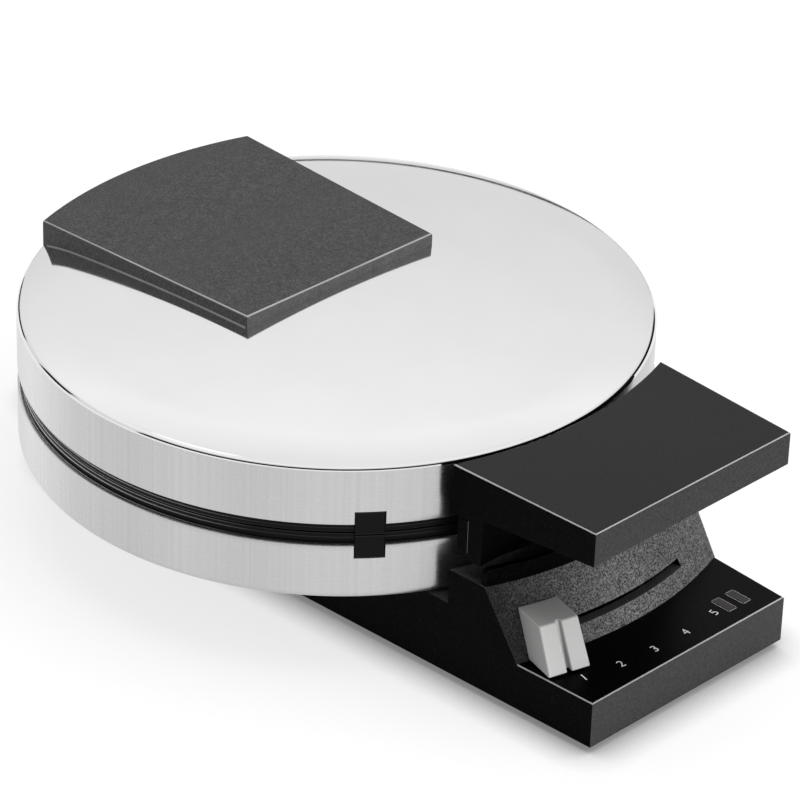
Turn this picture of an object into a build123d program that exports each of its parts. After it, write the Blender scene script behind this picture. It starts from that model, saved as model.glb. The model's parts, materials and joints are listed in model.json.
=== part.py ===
from build123d import *
from math import atan2, cos, degrees, radians, sin, sqrt, tan
import os

# Round waffle maker. Every piece stands in one frame: Z is up from the surface
# that the feet rest on, +X is to the right and the handle points to -Y.
# Heights are above the underside of the stand, and plans are drawn about the
# axis of the round cooking plates.

# Whole object
disc_radius = 95.0
front_reach = 145.2
rear_reach = 107.5
foot_height = 2.5
side_slope = 0.048
axis_y = (front_reach - rear_reach) / 2

# Fits and clearances
slip_gap = 0.2
running_gap = 0.05
head_sink = 0.6
far = 400.0

# Steel rings
sheet = 0.8
deck_height = 23.3
lower_wall = 18.3
upper_wall = 19.3
lower_corner = 3.0
fold_radius = 1.5
dome_rise = 6.2
dome_shoulder_radius = 81.0
dome_shoulder_drop = 3.9

# Grid plates, as depths from the face where the two plates meet
plate_gap = 0.4
rim_height = 3.2
rim_inset = 1.5
rim_band = 3.1
cavity_depth = 10.0
cavity_radius = 82.0
cavity_draft = 2.0
plate_floor = 3.0
groove_radius = 87.5
groove_width = 3.2
groove_depth = 1.4
post_size = 8.4
post_height = 5.0
post_pitch = 13.0
first_post = 9.5
post_margin = 3.0
post_taper = 8.0
divider_width = 5.0
divider_height = 7.5
ear_angle = 38.3
ear_width = 8.6
ear_depth = 7.3

# Heating elements and what holds them
tube_radius = 3.0
element_radius = 66.0
terminal_spacing = 16.0
terminal_bend = 9.0
terminal_end = 38.0
strap_sheet = 0.8
strap_width = 8.0
strap_foot = 6.0
strap_angles = (200, 270, 340)
reflector_sheet = 0.4
reflector_lift = 0.2
reflector_inner = 54.0
reflector_outer = 78.0
reflector_edge = 2.4
reflector_flare = 2.0

# Screws
screw_radius = 1.25
head_radius = 2.4
head_height = 1.6
plate_boss_radius = 4.0
plate_boss_x = 32.0
plate_boss_y = 36.0
bracket_boss_radius = 2.8
bracket_boss_height = 2.8
bracket_boss_reach = 76.0

# Stand
stand_half_width = 47.57
wall = 2.5
panel_height = 14.8
ledge_rise = 11.2
lip_rise = 5.5
lip_thickness = 2.0
lip_end_radius = 2.0
cone_foot_radius = 124.4
cone_top_radius = 112.5
ring_gap = 1.0
root_setback = 3.5
root_arc = 127.0
tray_end = 80.0
tray_corner = 14.0
tower_half_width = 28.0
tower_corner = 5.0
edge_radius = 0.7

# Slider
slot_rise = 5.9
slot_width = 2.4
slot_start = -17.8
slot_end = 11.8
knob_angle = -14.8
knob_rise = 13.7
knob_lift = 0.7
knob_top_width = 13.0
knob_foot_width = 13.8
knob_top_reach = 128.0
knob_foot_reach = 135.3
pointer_width = 1.3
pointer_depth = 0.9
lever_sheet = 1.2
lever_width = 8.0
lever_drop = 4.6
lever_tip_radius = 128.0
shaft_radius = 3.0
shaft_clearance = 0.6
hub_radius = 8.0
collar_radius = 6.0
collar_height = 2.5
thermostat_width = 22.0
thermostat_height = 5.6
thermostat_tab = 7.0
thermostat_corner = 3.0
thermostat_tab_lap = 1.0

# Indicator lights
lens_width = 3.0
lens_length = 6.8
power_lens_x = 24.5
ready_lens_x = 30.6
lens_reach = 136.2
lens_proud = 0.2
lamp_radius = 1.3
lamp_drop = 2.0
holder_sheet = 1.2

# Bottom cover, feet and cord inlet
cover_sheet = 2.0
cover_screw_length = 8.0
cover_lift = 0.6
cover_boss_radius = 3.5
front_boss = (34.5, -125.0)
middle_boss = (41.0, -30.0)
rear_boss = (38.0, 62.0)
tower_boss = (22.5, 98.0)
tower_boss_radius = 2.4
foot_radius = 6.0
foot_stem_radius = 2.4
foot_barb = 0.6
foot_chamfer = 0.6
front_foot = (26.0, -132.0)
rear_foot = (38.0, 40.0)
inlet_radius = 3.6
inlet_wall = 1.6
inlet_flange = 1.5
inlet_height = 14.0

# Hinge
pin_reach = 101.0
pin_radius = 2.0
knuckle_radius = 5.5
arm_half_width = 12.0
cheek_thickness = 6.0
cheek_gap = 0.6
tower_drop = 9.0
arm_rise = 13.0
arm_lean = 4.5
arm_screw_reach = 98.5
arm_bracket_half_width = 7.0
arm_bracket_drop = 8.0
arm_bracket_step = 86.0
arm_bracket_end = 101.5

# Handle
handle_half_width = 47.28
handle_setback = 2.6
handle_top_rise = 1.5
handle_front_depth = 10.8
handle_root_depth = 13.7
handle_root_gap = 3.0
skirt_front = 102.0
skirt_back = 97.0
skirt_drop = 15.0
guard_setback = 2.2
guard_rise = 11.0
bracket_sheet = 2.0
bracket_half_width = 12.0
bracket_margin = 1.4
bracket_reach = 128.0
handle_screw_reach = 114.0
screw_x = 7.0
rear_screw_x = 4.0

# Hinge cover on the lid
cover_half_width = 38.25
cover_front = -1.5
cover_back = 91.4
cover_corner_back = 84.1
cover_front_rise = 3.3
cover_rear_fall = 1.2
cover_screw_x = 22.0
cover_screw_y = 45.0

# Terminal block, fuse and leads
block_width = 60.0
block_depth = 12.0
block_height = 8.0
block_front = 63.0
fuse_radius = 1.9
fuse_length = 12.0
fuse_x = -24.0
fuse_front = 8.0
lead_radius = 1.2
lead_bend = 4.0
lid_lead_bend = 2.8
lamp_lead_x = 21.0
lamp_lead_start = 116.0
lamp_lead_end = 30.0
lead_hole_radius = 3.4
live_hole = (fuse_x, 34.0)
neutral_hole_y = 28.0
thermostat_lead_y = -7.5
lid_lead_x = 9.5
lid_lead_front = 27.0
lid_lead_back = 86.0
lid_lead_rise = 6.0
lid_lead_drop = 7.0

# Heights that follow from the sizes above
lower_top = deck_height + lower_wall
lower_face = lower_top + rim_height
seam_height = lower_face + plate_gap / 2
upper_face = lower_face + plate_gap
upper_bottom = upper_face + rim_height
fold_height = upper_bottom + upper_wall
ledge_height = deck_height + ledge_rise
lip_height = ledge_height + lip_rise
slot_height = panel_height + slot_rise
plate_back = cavity_depth + plate_floor
handle_top = fold_height + handle_top_rise
tower_height = seam_height - tower_drop
bracket_height = upper_face + plate_back + bracket_boss_height
arm_bracket_height = bracket_height - arm_bracket_drop
floor_radius = cavity_radius - cavity_draft
cover_top = fold_height + dome_rise + cover_front_rise
lid_lead_height = bracket_height - lid_lead_drop

os.makedirs("parts", exist_ok=True)


def level(height):
    """Plan plane at a height, centred on the axis of the plates"""
    return Plane((0, axis_y, foot_height + height))


def radial(angle):
    """Upright plane through the disc's axis; its x runs outwards at an angle from the front"""
    outwards = Vector(sin(radians(angle)), -cos(radians(angle)), 0)
    return Plane((0, axis_y, foot_height), x_dir=outwards, z_dir=outwards.cross(Vector(0, 0, 1)))


def side_plane(x):
    """Upright plane at x, where local x is the distance behind the disc's axis"""
    return Plane((x, axis_y, foot_height), x_dir=(0, 1, 0), z_dir=(1, 0, 0))


def seam_plane(side, depth):
    """Plane at a depth from a plate's face, for the upper (+1) or lower (-1) plate"""
    height = upper_face + depth if side > 0 else lower_face - depth
    return Plane((0, axis_y, foot_height + height), x_dir=(1, 0, 0), z_dir=(0, 0, side))


def seam_profile_plane(side):
    """Upright plane whose y is the depth from a plate's face"""
    height = upper_face if side > 0 else lower_face
    return Plane((0, axis_y, foot_height + height), x_dir=(1, 0, 0), z_dir=(0, -side, 0))


def half_width_at(half_width, y):
    """Half width of a side that widens towards the rear"""
    return half_width + side_slope * y


def tapered(half_width, y_front, y_rear):
    """Corners of a plan whose sides widen towards the rear"""
    front = half_width_at(half_width, y_front)
    rear = half_width_at(half_width, y_rear)
    return [(-front, y_front), (front, y_front), (rear, y_rear), (-rear, y_rear)]


def cone_radius(height):
    """Radius of the number panel's riser at a height"""
    rise = (height - panel_height) / (ledge_height - panel_height)
    return cone_foot_radius + (cone_top_radius - cone_foot_radius) * rise


def mirrored(point):
    """A point and its mirror image across the middle"""
    return [point, (-point[0], point[1])]


def write(part, name):
    """Label a finished piece and write its file"""
    part.label = name
    export_step(part, "parts/" + name + ".step")


disc_axis = Axis((0, axis_y, 0), (0, 0, 1))
down_axis = Axis((0, axis_y, 0), (0, 0, -1))
root_centre = root_arc - disc_radius - root_setback


def root_cut(height, setback, depth):
    """Space that keeps the front pieces clear of the round rings"""
    with BuildPart() as space:
        with BuildSketch(level(height)):
            with Locations((0, root_centre)):
                Circle(root_arc + setback)
            with Locations((0, -far / 2)):
                Rectangle(2 * far, far, mode=Mode.INTERSECT)
            Circle(disc_radius + ring_gap)
        extrude(amount=depth)
    return space.part


# Stand: a tapered tray with a raised riser in front of the rings. The same
# block, inset by the wall, is its hollow.
def stand_block(inset):
    slant = sqrt((cone_foot_radius - cone_top_radius) ** 2 + (ledge_height - panel_height) ** 2)
    cone_inset = inset * slant / (ledge_height - panel_height)
    cut_floor = panel_height - inset
    cut_top = ledge_height + lip_rise
    with BuildPart() as block:
        with BuildSketch(level(0)):
            Polygon(*tapered(stand_half_width - inset, inset - front_reach, 0), align=None)
        extrude(amount=ledge_height - inset)
        with BuildSketch(level(0)) as tray:
            Polygon(*tapered(stand_half_width - inset, 0, tray_end - inset), align=None)
            fillet(tray.vertices().group_by(Axis.Y)[-1], tray_corner - inset)
        extrude(amount=deck_height - inset)
        with BuildSketch(radial(90)):
            Polygon(
                (cone_radius(cut_floor) - cone_inset, cut_floor),
                (cone_radius(cut_top) - cone_inset, cut_top),
                (far, cut_top),
                (far, cut_floor),
                align=None,
            )
        revolve(axis=down_axis, revolution_arc=180, mode=Mode.SUBTRACT)
        add(root_cut(deck_height - inset, inset, far), mode=Mode.SUBTRACT)
    return block.part


def tower_block(inset):
    """Narrow block behind the tray, rounded at its rear; inset by the wall, it is the tower's hollow"""
    with BuildPart() as block:
        with BuildSketch(level(0)) as tower:
            with Locations((0, (tray_end + rear_reach - inset) / 2)):
                Rectangle(2 * (tower_half_width - inset), rear_reach - inset - tray_end)
            fillet(tower.vertices().group_by(Axis.Y)[-1], tower_corner - inset)
        extrude(amount=tower_height - inset)
    return block.part


def ring_well(inset):
    """Round well behind the axis, in which the lower ring stands"""
    with BuildPart() as well:
        with BuildSketch(level(deck_height - inset)):
            Circle(disc_radius + ring_gap + inset)
        extrude(amount=far)
    return well.part


stand_shell = stand_block(0)
stand_hollow = stand_block(wall)
stand_well = ring_well(0)
hollow_well = ring_well(wall)
boss_points = mirrored(front_boss) + mirrored(middle_boss) + mirrored(rear_boss) + mirrored(tower_boss)
plate_screw_points = [(x, y) for x in (-plate_boss_x, plate_boss_x) for y in (-plate_boss_y, plate_boss_y)]
foot_points = mirrored(front_foot) + mirrored(rear_foot)
cover_top_height = cover_lift + cover_sheet
lens_points = [(power_lens_x, -lens_reach), (ready_lens_x, -lens_reach)]
inlet_plane = Plane(
    (0, axis_y + rear_reach, foot_height + inlet_height), x_dir=(-1, 0, 0), z_dir=(0, 1, 0)
)

with BuildPart() as hollow:
    add(stand_hollow)
    # Way through to the tower
    with BuildSketch(level(0)):
        with Locations((0, tray_end - 2 * wall)):
            Rectangle(2 * (tower_half_width - wall), 4 * wall)
    extrude(amount=deck_height - wall)
    add(hollow_well, mode=Mode.SUBTRACT)

with BuildPart() as tower_hollow:
    add(tower_block(wall))
    add(hollow_well, mode=Mode.SUBTRACT)

with BuildPart() as lip_blank:
    # Lip on top of the riser, with rounded upper corners
    with BuildSketch(level(ledge_height - wall)):
        Circle(cone_top_radius)
        Circle(cone_top_radius - lip_thickness, mode=Mode.SUBTRACT)
        with Locations((0, -far / 2)):
            Rectangle(2 * far, far, mode=Mode.INTERSECT)
    extrude(amount=lip_rise + wall)

lip_half_width = half_width_at(stand_half_width, -cone_top_radius) - slip_gap

with BuildPart() as lip:
    front_plane = Plane((0, axis_y, foot_height), x_dir=(1, 0, 0), z_dir=(0, -1, 0))
    with BuildSketch(front_plane) as lip_front:
        with Locations((0, lip_height - (lip_rise + wall) / 2)):
            Rectangle(2 * lip_half_width, lip_rise + wall)
        fillet(lip_front.vertices().group_by(Axis.Y)[-1], lip_end_radius)
    extrude(amount=far)
    add(lip_blank.part, mode=Mode.INTERSECT)

with BuildPart() as base_stand:
    add(stand_shell)
    add(stand_well, mode=Mode.SUBTRACT)
    panel_edges = base_stand.edges().filter_by_position(
        Axis.Z, foot_height + panel_height - slip_gap, foot_height + panel_height + slip_gap
    )
    fillet(panel_edges.filter_by(GeomType.LINE), edge_radius)
    add(hollow.part, mode=Mode.SUBTRACT)
    add(lip.part)
    # Posts that take the screws of the bottom cover
    with BuildSketch(level(cover_top_height)):
        with Locations(*mirrored(middle_boss), *mirrored(rear_boss)):
            Circle(cover_boss_radius)
    extrude(amount=deck_height - wall / 2 - cover_top_height)
    with BuildSketch(level(cover_top_height)):
        with Locations(*mirrored(front_boss)):
            Circle(cover_boss_radius)
    extrude(amount=panel_height - wall / 2 - cover_top_height)
    with BuildSketch(level(cover_top_height)):
        with Locations(*boss_points):
            Circle(screw_radius)
    extrude(amount=panel_height - 2 * wall - cover_top_height, mode=Mode.SUBTRACT)
    # Curved slot for the lever
    with BuildSketch(radial(slot_start)):
        with Locations(((cone_foot_radius + cone_top_radius) / 2, slot_height)):
            Rectangle(cone_foot_radius - cone_top_radius + 2 * wall, slot_width)
    revolve(axis=disc_axis, revolution_arc=slot_end - slot_start, mode=Mode.SUBTRACT)
    # Windows for the two lights
    with BuildSketch(level(panel_height - wall)):
        with Locations(*lens_points):
            Rectangle(lens_width, lens_length)
    extrude(amount=2 * wall, mode=Mode.SUBTRACT)
    # Holes in the deck: lever shaft, plate screws and leads
    with BuildSketch(level(deck_height - 2 * wall)):
        Circle(shaft_radius + shaft_clearance)
        with Locations(*plate_screw_points):
            Circle(screw_radius + slip_gap)
        with Locations(live_hole, (terminal_spacing / 2, neutral_hole_y)):
            Circle(lead_hole_radius)
    extrude(amount=3 * wall, mode=Mode.SUBTRACT)
write(base_stand.part, "base_stand")

with BuildPart() as hinge_tower:
    add(tower_block(0))
    add(stand_well, mode=Mode.SUBTRACT)
    add(tower_hollow.part, mode=Mode.SUBTRACT)
    # Posts that take the last two screws of the bottom cover
    with BuildSketch(level(cover_top_height)):
        with Locations(*mirrored(tower_boss)):
            Circle(tower_boss_radius)
        # Webs that tie the posts to the side walls
        with Locations(*mirrored((tower_half_width - wall, tower_boss[1]))):
            Rectangle(2 * (tower_half_width - wall - tower_boss[0]), tower_boss_radius)
    extrude(amount=tower_height - wall / 2 - cover_top_height)
    with BuildSketch(level(cover_top_height)):
        with Locations(*mirrored(tower_boss)):
            Circle(screw_radius)
    extrude(amount=panel_height - 2 * wall - cover_top_height, mode=Mode.SUBTRACT)
    # Cheeks that carry the hinge pin
    for cheek_start in (-arm_half_width - cheek_gap - cheek_thickness, arm_half_width + cheek_gap):
        with BuildSketch(side_plane(cheek_start)):
            with Locations((pin_reach, seam_height)):
                Circle(knuckle_radius)
            with Locations((pin_reach, seam_height - (tower_drop + wall) / 2)):
                Rectangle(2 * knuckle_radius, tower_drop + wall)
        extrude(amount=cheek_thickness)
    with BuildSketch(side_plane(-far / 2)):
        with Locations((pin_reach, seam_height)):
            Circle(pin_radius)
    extrude(amount=far, mode=Mode.SUBTRACT)
    with BuildSketch(inlet_plane):
        Circle(inlet_radius + inlet_wall)
    extrude(amount=-2 * wall, mode=Mode.SUBTRACT)
write(hinge_tower.part, "hinge_tower")

with BuildPart() as bottom_cover:
    cover_inset = wall + slip_gap
    with BuildSketch(level(cover_lift)) as cover_plan:
        Polygon(
            *tapered(stand_half_width - cover_inset, cover_inset - front_reach, tray_end - cover_inset),
            align=None,
        )
        fillet(cover_plan.vertices().group_by(Axis.Y)[-1], tray_corner - cover_inset)
        with BuildSketch() as cover_tail:
            with Locations((0, (rear_reach - cover_inset) / 2)):
                Rectangle(2 * (tower_half_width - cover_inset), rear_reach - cover_inset)
            fillet(cover_tail.vertices().group_by(Axis.Y)[-1], tower_corner - cover_inset)
        with Locations(*boss_points):
            Circle(screw_radius + slip_gap, mode=Mode.SUBTRACT)
        with Locations(*foot_points):
            Circle(foot_stem_radius, mode=Mode.SUBTRACT)
    extrude(amount=cover_sheet)
    # Sunk seats for the screw heads
    with BuildSketch(level(cover_lift)):
        with Locations(*boss_points):
            Circle(head_radius + slip_gap)
    extrude(amount=cover_sheet / 2, mode=Mode.SUBTRACT)
write(bottom_cover.part, "bottom_cover")

with BuildPart() as rubber_feet:
    with BuildSketch(level(-foot_height)):
        with Locations(*foot_points):
            Circle(foot_radius)
    extrude(amount=foot_height + cover_lift)
    with BuildSketch(level(cover_lift)):
        with Locations(*foot_points):
            Circle(foot_stem_radius)
    extrude(amount=cover_sheet)
    with BuildSketch(level(cover_top_height)):
        with Locations(*foot_points):
            Circle(foot_stem_radius + foot_barb)
    extrude(amount=foot_barb)
    chamfer(rubber_feet.edges().group_by(Axis.Z)[0], foot_chamfer)
write(rubber_feet.part, "rubber_feet")


def screws(plane, points, length):
    """Pan-head screws whose heads stand on a plane and whose shanks go along its normal"""
    with BuildPart() as group:
        with BuildSketch(plane.offset(-head_height)):
            with Locations(*points):
                Circle(head_radius)
        extrude(amount=head_height)
        with BuildSketch(plane.offset(-head_height)):
            with Locations(*points):
                Rectangle(head_radius, head_radius / 4)
        extrude(amount=head_height / 3, mode=Mode.SUBTRACT)
        with BuildSketch(plane):
            with Locations(*points):
                Circle(screw_radius)
        extrude(amount=length)
    return group.part


write(screws(level(cover_lift + cover_sheet / 2), boss_points, cover_screw_length), "bottom_cover_screws")


# Steel rings. Both are pressed from one sheet thickness.
def lid_form(inset):
    """Solid inside the lid's sheet, at a distance below its outside"""
    radius = disc_radius - inset
    fold = fold_radius - inset / 2
    crown = fold_height + dome_rise - inset
    shoulder = (dome_shoulder_radius, crown - dome_shoulder_drop)
    with BuildPart() as form:
        with BuildSketch(radial(90)):
            with BuildLine():
                top = ThreePointArc(
                    (0, crown),
                    (dome_shoulder_radius / 2, crown - dome_shoulder_drop / 4),
                    shoulder,
                )
                edge = TangentArc(top @ 1, (radius - fold, fold_height - inset), tangent=top % 1)
                fall_angle = atan2(-(edge % 1).Y, (edge % 1).X)
                fold_drop = fold * tan((fall_angle + radians(90)) / 2)
                fold_end = (radius, fold_height - inset - fold_drop)
                TangentArc(edge @ 1, fold_end, tangent=edge % 1)
                Polyline(fold_end, (radius, upper_bottom), (0, upper_bottom))
                Line((0, upper_bottom), (0, crown))
            make_face()
        revolve(axis=disc_axis)
    return form.part


def ear_notches(height, depth, gap):
    """Blocks where the plates' ears stand in the rings"""
    with BuildPart() as blocks:
        for angle in (ear_angle, -ear_angle, 180 - ear_angle, ear_angle - 180):
            with BuildSketch(Plane(level(height).origin, x_dir=radial(angle).x_dir, z_dir=(0, 0, 1))):
                with Locations((disc_radius - rim_inset - wall / 2, 0)):
                    Rectangle(2 * rim_inset + wall, ear_width + 2 * gap)
            extrude(amount=depth)
    return blocks.part


lid_outside = lid_form(0)
lid_inside = lid_form(sheet)

with BuildPart() as lid_shell:
    add(lid_outside)
    add(lid_inside, mode=Mode.SUBTRACT)
    add(
        ear_notches(upper_bottom, ear_depth - rim_height + slip_gap, slip_gap),
        mode=Mode.SUBTRACT,
    )
    # Slots for the two steel brackets and holes for the leads and cover screws
    with BuildSketch(level(bracket_height - slip_gap)):
        with Locations((0, -disc_radius)):
            Rectangle(2 * (bracket_half_width + slip_gap), 4 * wall)
    extrude(amount=bracket_sheet + 2 * slip_gap, mode=Mode.SUBTRACT)
    with BuildSketch(level(arm_bracket_height - slip_gap)):
        with Locations((0, disc_radius)):
            Rectangle(2 * (arm_bracket_half_width + slip_gap), 4 * wall)
    extrude(amount=bracket_sheet + 2 * slip_gap, mode=Mode.SUBTRACT)
    with BuildSketch(front_plane.offset(-disc_radius - wall)):
        with Locations(*mirrored((lid_lead_x, lid_lead_height))):
            Circle(lead_radius + slip_gap)
    extrude(amount=4 * wall, mode=Mode.SUBTRACT)
    with BuildSketch(level(fold_height)):
        with Locations(*mirrored((cover_screw_x, cover_screw_y))):
            Circle(screw_radius + slip_gap)
    extrude(amount=far, mode=Mode.SUBTRACT)
write(lid_shell.part, "lid_shell")

with BuildPart() as pan_inside:
    with BuildSketch(level(deck_height + sheet)):
        Circle(disc_radius - sheet)
    extrude(amount=lower_wall + sheet)
    fillet(pan_inside.edges().group_by(Axis.Z)[0], lower_corner - sheet)

with BuildPart() as lower_shell:
    with BuildSketch(level(deck_height)):
        Circle(disc_radius)
    extrude(amount=lower_wall)
    fillet(lower_shell.edges().group_by(Axis.Z)[0], lower_corner)
    add(pan_inside.part, mode=Mode.SUBTRACT)
    add(ear_notches(lower_face - ear_depth - slip_gap, far, slip_gap), mode=Mode.SUBTRACT)
    with BuildSketch(level(deck_height)):
        Circle(shaft_radius + shaft_clearance)
        with Locations(*plate_screw_points):
            Circle(screw_radius + slip_gap)
        with Locations(live_hole, (terminal_spacing / 2, neutral_hole_y)):
            Circle(lead_hole_radius)
    extrude(amount=2 * sheet, mode=Mode.SUBTRACT)
write(lower_shell.part, "lower_shell")


# Grid plates. Depths run from the meeting face into the plate, so one function
# makes both.
def post_points():
    """Centres of the posts that press the pockets into one plate's waffle"""
    limit = floor_radius - post_margin
    count = int(limit // post_pitch) + 1
    steps = [first_post + post_pitch * index for index in range(count)]
    points = []
    for x in steps:
        for y in steps:
            if sqrt((x + post_size / 2) ** 2 + (y + post_size / 2) ** 2) <= limit:
                points += [(sx * x, sy * y) for sx in (-1, 1) for sy in (-1, 1)]
    return points


def plate_rim(side):
    """Outer wall of a plate, with the rim that shows between the rings and the ears in their notches"""
    rim_radius = disc_radius - rim_inset
    band_radius = disc_radius - sheet - slip_gap
    with BuildPart() as rim:
        with BuildSketch(seam_profile_plane(side)):
            Polygon(
                (floor_radius, cavity_depth),
                (cavity_radius, 0),
                (groove_radius - groove_width / 2, 0),
                (groove_radius - groove_width / 4, groove_depth),
                (groove_radius + groove_width / 4, groove_depth),
                (groove_radius + groove_width / 2, 0),
                (rim_radius, 0),
                (rim_radius, rim_height + slip_gap),
                (band_radius, rim_height + slip_gap),
                (band_radius, rim_height + rim_band),
                (cavity_radius + cavity_draft, rim_height + rim_band),
                (cavity_radius, plate_back),
                (floor_radius, plate_back),
                align=None,
            )
        revolve(axis=disc_axis)
        with BuildSketch(seam_plane(side, 0)):
            for angle in (ear_angle, -ear_angle, 180 - ear_angle, ear_angle - 180):
                centre = disc_radius - (rim_inset + wall) / 2
                with Locations((centre * sin(radians(angle)), -centre * cos(radians(angle)))):
                    Rectangle(rim_inset + wall, ear_width, rotation=angle - 90)
        extrude(amount=ear_depth)
    return rim.part


def grid_plate(side, boss_groups, pilot_points):
    """Floor of a plate, with the posts and the cross that shape the waffle"""
    with BuildPart() as plate:
        with BuildSketch(seam_plane(side, cavity_depth)):
            Circle(floor_radius)
        extrude(amount=plate_floor)
        toward_seam = Plane(
            seam_plane(side, cavity_depth).origin, x_dir=(1, 0, 0), z_dir=(0, 0, -side)
        )
        with BuildSketch(toward_seam):
            with Locations(*post_points()):
                Rectangle(post_size, post_size)
        extrude(amount=post_height, taper=post_taper)
        for turn in (0, 90):
            with BuildSketch(toward_seam):
                Rectangle(2 * floor_radius, divider_width, rotation=turn)
            extrude(amount=divider_height, taper=post_taper)
        for points, radius, height in boss_groups:
            with BuildSketch(seam_plane(side, plate_back)):
                with Locations(*points):
                    Circle(radius)
            extrude(amount=height)
            with BuildSketch(seam_plane(side, plate_back + height)):
                with Locations(*points):
                    Circle(screw_radius)
            extrude(amount=-height - plate_floor / 2, mode=Mode.SUBTRACT)
        with BuildSketch(seam_plane(side, plate_back)):
            with Locations(*[(x, side * y) for x, y in pilot_points]):
                Circle(screw_radius)
        extrude(amount=strap_sheet - plate_floor, mode=Mode.SUBTRACT)
    return plate.part


def strap_screw_points():
    """Centres of the screws in the feet of the element straps"""
    reach = tube_radius + slip_gap + strap_sheet + strap_foot / 2
    return [
        (radius * cos(radians(angle)), radius * sin(radians(angle)))
        for angle in strap_angles
        for radius in (element_radius - reach, element_radius + reach)
    ]


front_bracket_points = mirrored((screw_x, -bracket_boss_reach))
rear_bracket_points = mirrored((rear_screw_x, bracket_boss_reach))
lower_boss_height = lower_face - plate_back - deck_height - sheet
write(
    grid_plate(-1, [(plate_screw_points, plate_boss_radius, lower_boss_height)], strap_screw_points()),
    "lower_grid_plate",
)
write(
    grid_plate(
        1,
        [(front_bracket_points + rear_bracket_points, bracket_boss_radius, bracket_boss_height)],
        strap_screw_points(),
    ),
    "upper_grid_plate",
)
write(plate_rim(-1), "lower_plate_rim")
write(plate_rim(1), "upper_plate_rim")
write(
    screws(level(deck_height - wall), plate_screw_points, wall + sheet + lower_boss_height),
    "lower_plate_screws",
)

# Heating elements: a tube bent to a broken ring, with both ends turned inwards
tube_depth = plate_back + slip_gap / 2 + tube_radius
bend_x = terminal_spacing / 2 + terminal_bend
bend_y = sqrt((element_radius - terminal_bend) ** 2 - bend_x ** 2)
bend_turn = degrees(atan2(bend_y, -bend_x))
ring_turn = 360 - 2 * (bend_turn - 90)


def heating_element(side):
    plane = seam_plane(side, tube_depth)
    turned = Plane(plane.origin, x_dir=(1, 0, 0), z_dir=(0, 0, 1))
    with BuildPart() as element:
        with BuildLine(turned) as route:
            leg = Line((-terminal_spacing / 2, terminal_end), (-terminal_spacing / 2, bend_y))
            bend = JernArc(leg @ 1, leg % 1, terminal_bend, bend_turn)
            ring = JernArc(bend @ 1, bend % 1, element_radius, ring_turn)
            close = JernArc(ring @ 1, ring % 1, terminal_bend, bend_turn)
            Line(close @ 1, (terminal_spacing / 2, terminal_end))
        with BuildSketch(Plane(route.line @ 0, z_dir=route.line % 0)):
            Circle(tube_radius)
        sweep()
    return element.part


def strap_section(bar_radius, base, foot_shift):
    """Section of a strap over a round bar: two legs, an arch and feet that stand on y = base"""
    arch = bar_radius + slip_gap
    outer = arch + strap_sheet
    middle = base + slip_gap / 2 + bar_radius
    with BuildSketch() as section:
        with Locations((0, middle)):
            Circle(outer)
        with Locations((0, (base + middle) / 2)):
            Rectangle(2 * outer, middle - base)
        with Locations((foot_shift, base + strap_sheet / 2)):
            Rectangle(2 * (outer + strap_foot) - 2 * abs(foot_shift), strap_sheet)
        with Locations((0, middle)):
            Circle(arch, mode=Mode.SUBTRACT)
        with Locations((0, (base + middle) / 2)):
            Rectangle(2 * arch, middle - base, mode=Mode.SUBTRACT)
        with Locations((0, base - outer)):
            Rectangle(4 * outer, 2 * outer, mode=Mode.SUBTRACT)
    return section.sketch


def strap_clamps(side):
    """Straps that hold an element against its plate's back"""
    with BuildPart() as straps:
        for angle in strap_angles:
            outwards = Vector(cos(radians(angle)), sin(radians(angle)), 0)
            seam = seam_plane(side, 0).origin
            section = Plane(
                seam + outwards * element_radius, x_dir=outwards, z_dir=outwards.cross(Vector(0, 0, side))
            )
            with BuildSketch(section.offset(-strap_width / 2)):
                add(strap_section(tube_radius, plate_back, 0))
            extrude(amount=strap_width)
        with BuildSketch(seam_plane(side, plate_back)):
            with Locations(*[(x, side * y) for x, y in strap_screw_points()]):
                Circle(screw_radius)
        extrude(amount=strap_sheet, mode=Mode.SUBTRACT)
    return straps.part


def heat_reflector(height, lift):
    """Dished ring of bright sheet behind an element; its edge turns up by the lift"""
    with BuildPart() as reflector:
        with BuildSketch(radial(90)):
            Polygon(
                (reflector_inner, height),
                (reflector_outer, height),
                (reflector_outer + reflector_flare, height + lift),
                (reflector_outer + reflector_flare + reflector_sheet, height + lift),
                (reflector_outer + reflector_sheet, height - reflector_sheet * lift / abs(lift)),
                (reflector_inner, height - reflector_sheet * lift / abs(lift)),
                align=None,
            )
        revolve(axis=disc_axis)
    return reflector.part


for side, prefix in ((-1, "lower"), (1, "upper")):
    write(heating_element(side), prefix + "_heating_element")
    write(strap_clamps(side), prefix + "_element_clamps")
    into_plate = Plane(
        seam_plane(side, plate_back + strap_sheet).origin, x_dir=(1, 0, 0), z_dir=(0, 0, -side)
    )
    flipped_points = [(x, -side * y) for x, y in strap_screw_points()]
    write(screws(into_plate, flipped_points, plate_floor), prefix + "_clamp_screws")
write(
    heat_reflector(deck_height + sheet + reflector_lift + reflector_sheet, reflector_edge),
    "lower_heat_reflector",
)
reflector_top = upper_face + tube_depth + tube_radius + 2 * slip_gap + strap_sheet
write(heat_reflector(reflector_top, -reflector_edge), "upper_heat_reflector")

# Thermostat: a flat switch under the middle of the lower plate
thermostat_top = lower_face - plate_back - slip_gap
thermostat_bottom = thermostat_top - thermostat_height
lever_height = slot_height - lever_drop - lever_sheet / 2
tab_x = thermostat_width / 2 + thermostat_tab / 2 - thermostat_tab_lap

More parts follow.
